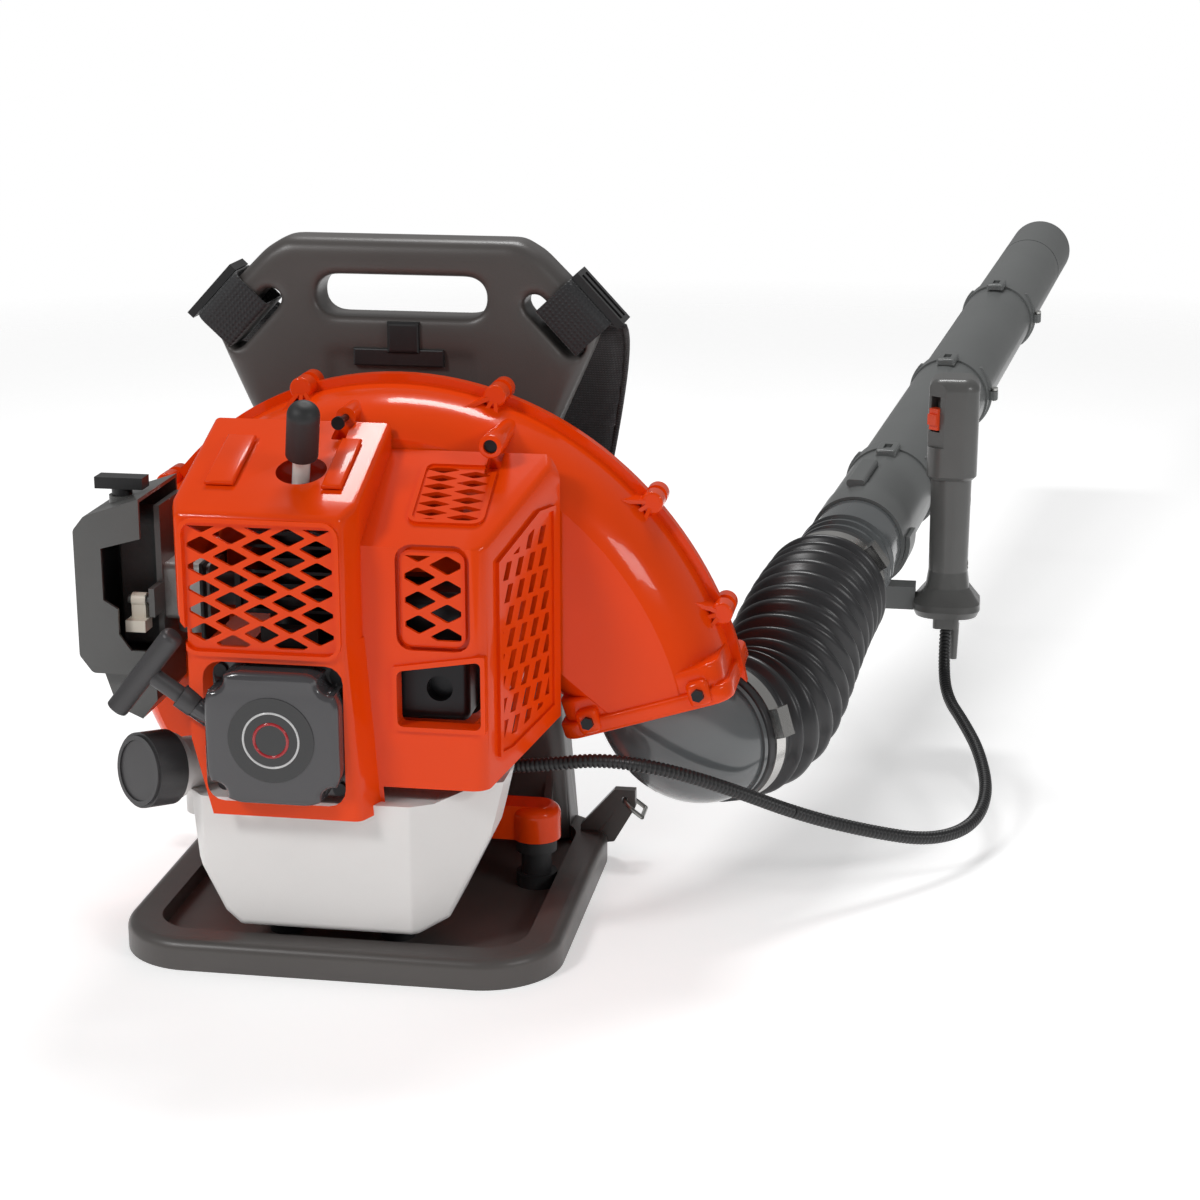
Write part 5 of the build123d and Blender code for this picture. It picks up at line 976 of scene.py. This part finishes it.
# %% Three lozenge grilles
cells = lozenges(22, 11.5, columns=5, rows=6, pitch_x=19.6, pitch_z=14.8, top=42.5)
set_in(*tray("main_grille", wide=103, tall=88, corner=8, deep=4.5, cells=cells, clip=(98, 82)),
       place=(-39, MAIN_FRONT, 271))
cells = lozenges(22, 12, columns=2, rows=4, pitch_x=19.7, pitch_z=16.4, top=31)
set_in(*tray("column_grille", wide=44, tall=66, corner=7, deep=4.5, cells=cells, clip=(38, 58)),
       place=(72, COLUMN_FRONT, 263))
cells = lozenges(21, 6.6, columns=2, rows=7, pitch_x=22.5, pitch_z=9.0, top=25)
set_in(*tray("roof_grille", wide=46, tall=58, corner=5, deep=2.5, cells=cells, clip=(43, 54)),
       place=(76, -76, 325), turn=(math.radians(-90) + math.atan(0.5), 0, 0))
print("three lozenge grilles")

# %% [markdown]
# The fourth grille is on the slanted side. Its slots lean forward in nine rows. One block is
# leaned by moving its upper points, and is then copied and clipped to the grille's outline.

# %% Side grille
def side_block(name, x0, x1, y0, y1, half_z, top, bottom):
    """A block of the side grille's outline, slanted at its top and its bottom."""
    return cut(box(name, x0, x1, y0, y1, -half_z, half_z),
               ((-25, 0, top), unit(-22, 0, 46)), ((0, 0, bottom), unit(18, 0, -63)))


leaning = box("slot", -3.2, 3.2, -20, 20, -6, 6)
only(leaning)
bpy.ops.object.mode_set(mode="EDIT")
bpy.ops.mesh.select_mode(type="VERT")
bpy.ops.mesh.select_all(action="DESELECT")
bpy.ops.object.mode_set(mode="OBJECT")
for vertex in leaning.data.vertices:
    vertex.select = vertex.co.z > 0
bpy.ops.object.mode_set(mode="EDIT")
bpy.ops.transform.translate(value=(5 * MM, 0, 0))
bpy.ops.object.mode_set(mode="OBJECT")
slots = copies(leaning, [((j - 1.5) * 14.6 - (i - 4) * 1.2, 0, (i - 4) * 15.6)
                         for i in range(9) for j in range(-1, 6)])
combine(slots, "INTERSECT", side_block("limit", -29, 28, -30, 40, 80, 52.25, -64.6))
side_grille = side_block("side_grille", -36, 35, 0.6, 5.5, 80, 61, -74)
combine(side_grille, "DIFFERENCE", side_block("pocket", -33, 32, -6, 2.5, 77, 58, -71), slots)
set_in(side_grille, side_block("mouth", -33, 32, -6, 5, 77, 58, -71),
       place=(128, -76.5, 230), turn=(0, 0, math.atan2(85, 34)))
print("side grille")

# %% [markdown]
# The openings are cut in one after the other: the exhaust window with its lip, the starter's
# port, the bays for the carburettor and the tank, and the holes for the plug and the rope. Two
# short posts then carry the upper screws.

# %% Round tools and a clean surface
def rod(name, middle, radius, y0, y1, sides=32):
    """A round or many-sided rod along y, its middle given as (x, z)."""
    bpy.ops.object.select_all(action="DESELECT")
    bpy.ops.mesh.primitive_cylinder_add(vertices=sides, radius=radius * MM,
                                        depth=(y1 - y0) * MM, rotation=(math.radians(90), 0, 0),
                                        location=(middle[0] * MM, (y0 + y1) / 2 * MM,
                                                  middle[1] * MM))
    made = bpy.context.object
    made.name = name
    bpy.ops.object.transform_apply(location=True, rotation=True, scale=True)
    return made


def drill(middle, way, radius, depth, sides):
    """A round tool that points along the given way. Its middle is given in metres."""
    bpy.ops.object.select_all(action="DESELECT")
    bpy.ops.mesh.primitive_cylinder_add(vertices=sides, radius=radius * MM, depth=depth * MM,
                                        location=middle,
                                        rotation=way.to_track_quat("Z", "Y").to_euler())
    return bpy.context.object


def faced_out(piece, merge=0.0):
    """Merges doubles closer than the given distance, if any, and turns all faces outwards."""
    only(piece)
    bpy.ops.object.mode_set(mode="EDIT")
    bpy.ops.mesh.select_all(action="SELECT")
    if merge:
        bpy.ops.mesh.remove_doubles(threshold=merge)
    bpy.ops.mesh.normals_make_consistent(inside=False)
    bpy.ops.object.mode_set(mode="OBJECT")


def shaded(piece, degrees=35):
    """Shades the piece smooth, but keeps the edges that are sharper than the angle."""
    only(piece)
    bpy.ops.object.shade_smooth_by_angle(angle=math.radians(degrees))
    return piece


# %% Openings
window_top = unit(-9, 0, 57)
lip = cut(box("lip", 44, 107, -127.3, -113, 171, 225), ((104, 0, 225), window_top))
window = cut(box("hole", 47, 104, -140, -100, 174, 222), ((104, 0, 221.5), window_top))
combine(cover, "UNION", rounded(lip, 6, along_y))
combine(cover, "DIFFERENCE", rounded(window, 4, along_y))
port = rounded(box("port", -80.5, 15.5, -160, -121, 122, 220), 12, along_y)
carburettor_bay = box("bay", -118, -81, -92, -33, 214, 272)
tank_bay = box("tank_bay", -200, 12, -136, 0, 80, 123)
left_flank = cut(box("flank", -160, -90, -170, 0, 60, 262), ((-105, 0, 262), unit(20, 0, 15)))
foot = cut(box("foot", -160, -50, -170, 0, 60, 165), ((-90, 0, 165), unit(53, 0, 13)))
plug_way = Vector((0.18, -0.42, 0.889))
plug_hole = drill(Vector((-0.031, -0.076, 0.302)) + plug_way * 0.056, plug_way, 17, 88, 40)
rope_hole = drill(rope_exit + pull_way * 0.010, pull_way, 10, 80, 32)
combine(cover, "DIFFERENCE", port, carburettor_bay, tank_bay, left_flank, foot, plug_hole,
        rope_hole)
print("window, port, bays and holes")

# %% Posts for the upper screws
for x, z in ((98.0, 352.0), (-8.0, 364.0)):
    post = rounded(rod("post", (x, z), 8.2, -58, -34.5), 1.2,
                   lambda a, b, way: max(a.y, b.y) < -57, segments=2)
    web = rounded(box("web", x - 5, x + 5, -56, -34.8, z - 20, z - 2), 1.5,
                  lambda a, b, way: min(a.y, b.y) < -55, segments=2)
    combine(cover, "UNION", post, web)
    combine(cover, "DIFFERENCE", rod("bore", (x, z), 2.6, -60, -33, 16),
            rod("head", (x, z), 4.9, -98, -52, 24))
cover.name = cover.data.name = "engine_cover_shell"
faced_out(cover, merge=0.00001)
outfit(shaded(cover), orange_shell, "machine")
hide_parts("engine_cover")
print("engine cover", len(cover.data.vertices), "points",
      [round(v / MM) for v in coordinates(cover).min(0)],
      [round(v / MM) for v in coordinates(cover).max(0)])

# %% [markdown]
# ## Starter case and badge
# The starter's case is moulded with a broad soft edge round its front. It has few faces, so here
# a bevelled copy of the solid works. In the middle of its face sits a plain round plate with two
# rings.

# %% Starter case
STARTER_FRONT = -160.0


def merged_copy(name, source):
    """A copy of a CAD node with its loose triangles merged into whole faces."""
    made = node[source].copy()
    made.data = node[source].data.copy()
    made.name = made.data.name = name
    made.parent = None
    made.animation_data_clear()
    bpy.context.scene.collection.objects.link(made)
    only(made)
    bpy.ops.object.mode_set(mode="EDIT")
    bpy.ops.mesh.select_all(action="SELECT")
    bpy.ops.mesh.remove_doubles(threshold=0.00002)
    bpy.ops.mesh.dissolve_limited(angle_limit=0.03)
    bpy.ops.object.mode_set(mode="OBJECT")
    return made


def sharp_edges(piece, least):
    """The keys of the edges whose two faces meet at more than the given angle."""
    faces = {}
    for face in piece.data.polygons:
        for key in face.edge_keys:
            faces.setdefault(key, []).append(face.normal.copy())
    return {key for key, pair in faces.items()
            if len(pair) == 2 and pair[0].angle(pair[1]) > least}


starter = merged_copy("starter_case_soft", "starter_case")
sharp = sharp_edges(starter, 0.5)
bevelled(starter, 7.0, lambda edge: edge.key in sharp and all(
    starter.data.vertices[k].co.y < (STARTER_FRONT + 0.5) * MM for k in edge.vertices))
faced_out(starter)
outfit(shaded(starter, 32), glossy_grey, "machine")
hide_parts("starter_case")
print("starter case", len(sharp), "sharp edges")

# %% Badge
badge_black = finish("badge_black", (0.012, 0.012, 0.013), 0.18, 0.05, coat=0.4)
badge_red = finish("badge_red", (0.42, 0.012, 0.018), 0.18, 0.05, coat=0.4)
badge_white = finish("badge_white", (0.62, 0.62, 0.62), 0.2, 0.03, coat=0.4)
badge_x, badge_z = -31, 171
disc = rod("badge_disc", (badge_x, badge_z), 29.5, STARTER_FRONT - 0.6, STARTER_FRONT + 0.6, 64)
fixed_to(starter, disc, badge_black)
for name, across, thick, colour in (("badge_ring_pale", 19.0, 0.8, badge_white),
                                    ("badge_ring_red", 11.5, 1.1, badge_red)):
    bpy.ops.object.select_all(action="DESELECT")
    bpy.ops.mesh.primitive_torus_add(major_radius=across * MM, minor_radius=thick * MM,
                                     major_segments=72, minor_segments=8,
                                     location=(badge_x * MM, (STARTER_FRONT - 0.5) * MM,
                                               badge_z * MM),
                                     rotation=(math.radians(90), 0, 0))
    ring = bpy.context.object
    ring.name = name
    bpy.ops.object.transform_apply(location=True, rotation=True, scale=True)
    bpy.ops.object.shade_smooth()
    fixed_to(starter, ring, colour)
print("badge")

# %% [markdown]
# ## Outlet band
# The fan case ends in a stepped band that holds the elbow. Two rounded rings make its shoulder
# and its flange, and two lugs with a hexagon bolt each close it at the front. The band is made
# upright and then leaned, because its edges are easier to pick while they run along the axes.

# %% Outlet band
# The outlet's middle and its lean, and how far the two lugs sit to its sides.
OUTLET = (202, 25, 157)
OUTLET_TURN = (0, -math.radians(17.5), 0)
LUGS = (-40.0, 41.0)


def outlet_ring(name, half_x, half_y, low, high):
    """A rounded ring round the outlet, between two heights."""
    band = rounded(box(name, -half_x, half_x, -half_y, half_y, low, high), 15, along_z,
                   segments=6)
    rounded(band, 2.4, lambda a, b, way: abs(way.z) < 0.3, segments=3)
    hole = rounded(box("hole", -49.5, 49.5, -46, 46, low - 9, high + 9), 12, along_z, segments=6)
    return combine(band, "DIFFERENCE", hole)


outlet_band = combine(outlet_ring("outlet_band", 63, 60, -2.3, 10), "UNION",
                      outlet_ring("shoulder", 59, 56.5, 8, 26))
for x in LUGS:
    lug = rounded(box("lug", x - 8, x + 8, -64, -52, 0, 18), 4,
                  lambda a, b, way: abs(way.y) > 0.9 or max(a.y, b.y) < -63, segments=3)
    combine(outlet_band, "UNION", lug)
shaded(moved(outlet_band, OUTLET, OUTLET_TURN))
outfit(outlet_band, orange_shell, "machine")
for x in LUGS:
    bolt = rod("outlet_bolt", (x, 9), 4.6, -67.5, -63.5, 6)
    fixed_to(outlet_band, moved(bolt, OUTLET, OUTLET_TURN), black_steel)
print("outlet band", len(outlet_band.data.vertices), "points")

# %% [markdown]
# ## The carrying frame's soft top
# The grab handle and the lobes beside it are blow moulded, so they have no straight edge at all.
# A bevel would keep a flat face between its edges. So the top of a copy of the frame is remeshed
# evenly and then smoothed. The smoothing fades in with height, and the plate below keeps its form.

# %% Frame
# The box over the frame's top, the cut's height, and where the smoothing fades in (in metres).
TOP_SPAN = (-250, 250, 60, 200)
TOP_CUT, TOP_END = 335, 520
SMOOTH_FROM, SMOOTH_OVER = 0.345, 0.045

soft_frame = merged_copy("frame_soft", "frame")
only(soft_frame)
bpy.ops.object.duplicate()
soft_top = bpy.context.object
soft_top.name = "frame_top"
combine(soft_frame, "DIFFERENCE", box("above", *TOP_SPAN, TOP_CUT, TOP_END))
combine(soft_top, "INTERSECT", box("keep", *TOP_SPAN, TOP_CUT - 0.5, TOP_END))
applied(soft_top, "REMESH", mode="VOXEL", voxel_size=0.0024)
fading = soft_top.vertex_groups.new(name="fading")
for k, z in enumerate(coordinates(soft_top)[:, 2]):
    fading.add([k], float(np.clip((z - SMOOTH_FROM) / SMOOTH_OVER, 0, 1)), "REPLACE")
applied(soft_top, "SMOOTH", factor=0.5, iterations=26, vertex_group="fading")
outfit(shaded(soft_frame, 32), frame_grey, "machine")
fixed_to(soft_frame, smooth(soft_top), frame_grey)
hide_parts("frame")
print("frame top", len(soft_top.data.vertices), "points")

# %% [markdown]
# ## Small mouldings
# The pipe joints carry small latches on top and the plate under the handle has a clip. A thin
# plate of black rubber across the carburettor bay is painted shade, which darkens the bay where
# the floor would show through. Two ridges run over the cover's roof.
# Each is a block with a few rounded edges.

# %% Latches on the pipe joints
tube_side = tube_way.cross(Vector((0, 0, 1))).normalized()
tube_up = tube_side.cross(tube_way).normalized()
tube_turn = Matrix((tube_side, tube_way, tube_up)).transposed().to_euler()
for far in (88.0, 377.0, 669.0):
    latch = rounded(box("collar_latch", -9, 9, -13, 13, 38.5, 44.5), 2.0,
                    lambda a, b, way: max(a.z, b.z) > 44, segments=3)
    combine(latch, "DIFFERENCE", box("notch", -3.5, 3.5, -6, 6, 42, 46))
    moved(latch, tube_start / MM + tube_way * far, tube_turn)
    outfit(shaded(latch), pipe_grey, "blow_tube")
print("three latches")

# %% Clip, shade plate and roof ridges
clip = rounded(box("frame_clip", -10, 14, 93, 99, 386, 409), 2.5,
               lambda a, b, way: max(a.y, b.y) < 94, segments=3)
combine(clip, "UNION", rounded(box("clip_foot", -36, 32, 95.4, 99, 376, 389), 1.2,
                               lambda a, b, way: max(a.y, b.y) < 96, segments=2))
outfit(clip, black_moulding, "machine")
# A thin black rubber plate across the carburettor bay: painted shade where the floor would show
# through.
shade_plate = rounded(box("bay_shade_plate", -99, -96, -91, -36, 215, 271), 1.0,
               lambda a, b, way: True, segments=2)
outfit(shade_plate, black_rubber, "machine")
ROOF_RISE = 0.36
for x, half in ((-74.0, 10.0), (3.0, 7.0)):
    ridge = rounded(box("roof_ridge", -half, half, -30, 30, -1.5, 1.2), 1.5,
                    lambda a, b, way: min(a.z, b.z) > 1, segments=3)
    moved(ridge, (x, -88, 325 + ROOF_RISE * 54), (math.atan(ROOF_RISE), 0, 0))
    fixed_to(cover, shaded(ridge), orange_shell)
print("clip, seal and two ridges")

# %% [markdown]
# ## Floor and light
# The machine stands on a plain white floor under soft lamps. The camera sees a white room, also
# through clear things, but the world lights the machine only at a level at which colours look
# as they are written. The floor fades out far from the machine, because the rim of a small floor
# would show as a line.

# %% Floor
bpy.ops.object.select_all(action="DESELECT")
bpy.ops.mesh.primitive_plane_add(size=8.0, location=(0.15, 0.5, 0.0))
floor = bpy.context.object
floor.name = "floor"
floor_white = bpy.data.materials.new("floor_white")
floor_white.use_nodes = True
floor_tree = floor_white.node_tree
floor_shader = floor_tree.nodes["Principled BSDF"]
floor_shader.inputs["Base Color"].default_value = (0.90, 0.90, 0.90, 1)
floor_shader.inputs["Roughness"].default_value = 0.6
floor_glow = floor_tree.nodes.new("ShaderNodeEmission")
floor_glow.inputs["Strength"].default_value = 0.42
floor_sum = floor_tree.nodes.new("ShaderNodeAddShader")
floor_tree.links.new(floor_shader.outputs["BSDF"], floor_sum.inputs[0])
floor_tree.links.new(floor_glow.outputs["Emission"], floor_sum.inputs[1])
far_place = floor_tree.nodes.new("ShaderNodeTexCoord")
far_off = floor_tree.nodes.new("ShaderNodeVectorMath")
far_off.operation = "LENGTH"
floor_tree.links.new(far_place.outputs["Object"], far_off.inputs[0])
fade = floor_tree.nodes.new("ShaderNodeMapRange")
fade.inputs["From Min"].default_value = 1.4
fade.inputs["From Max"].default_value = 2.6
floor_tree.links.new(far_off.outputs["Value"], fade.inputs["Value"])
beyond = floor_tree.nodes.new("ShaderNodeMixShader")
clear = floor_tree.nodes.new("ShaderNodeBsdfTransparent")
floor_tree.links.new(fade.outputs["Result"], beyond.inputs["Fac"])
floor_tree.links.new(floor_sum.outputs["Shader"], beyond.inputs[1])
floor_tree.links.new(clear.outputs["BSDF"], beyond.inputs[2])
floor_tree.links.new(beyond.outputs["Shader"],
                     floor_tree.nodes["Material Output"].inputs["Surface"])
floor.data.materials.append(floor_white)
print("floor")

# %% World
world = bpy.data.worlds.new("studio")
world.use_nodes = True
bpy.context.scene.world = world
world_tree = world.node_tree
back = world_tree.nodes["Background"]
back.inputs["Color"].default_value = (1, 1, 1, 1)
rays = world_tree.nodes.new("ShaderNodeLightPath")
seen = world_tree.nodes.new("ShaderNodeMath")
seen.operation = "MAXIMUM"
world_tree.links.new(rays.outputs["Is Camera Ray"], seen.inputs[0])
world_tree.links.new(rays.outputs["Is Transmission Ray"], seen.inputs[1])
level = world_tree.nodes.new("ShaderNodeMapRange")
level.inputs["To Min"].default_value = 0.26
level.inputs["To Max"].default_value = 1.0
world_tree.links.new(seen.outputs["Value"], level.inputs["Value"])
world_tree.links.new(level.outputs["Result"], back.inputs["Strength"])
print("white world")


# %% Lamps
def soft_lamp(name, place, target, size, power):
    """A rectangular lamp that points at its target."""
    data = bpy.data.lights.new(name, "AREA")
    data.shape = "RECTANGLE"
    data.size, data.size_y = size
    data.energy = power
    lamp = into_scene(name, data)
    lamp.location = place
    lamp.rotation_euler = (Vector(target) - Vector(place)).to_track_quat("-Z", "Y").to_euler()


soft_lamp("key", (-1.6, -1.9, 2.3), (0.05, 0.1, 0.2), (0.6, 0.6), 36.0)
soft_lamp("fill", (2.2, -1.2, 1.4), (0.15, 0.2, 0.2), (0.8, 0.5), 12.0)
soft_lamp("top", (-0.05, 1.5, 2.5), (0.05, 0.1, 0.3), (1.1, 0.5), 30.0)
print("three lamps")
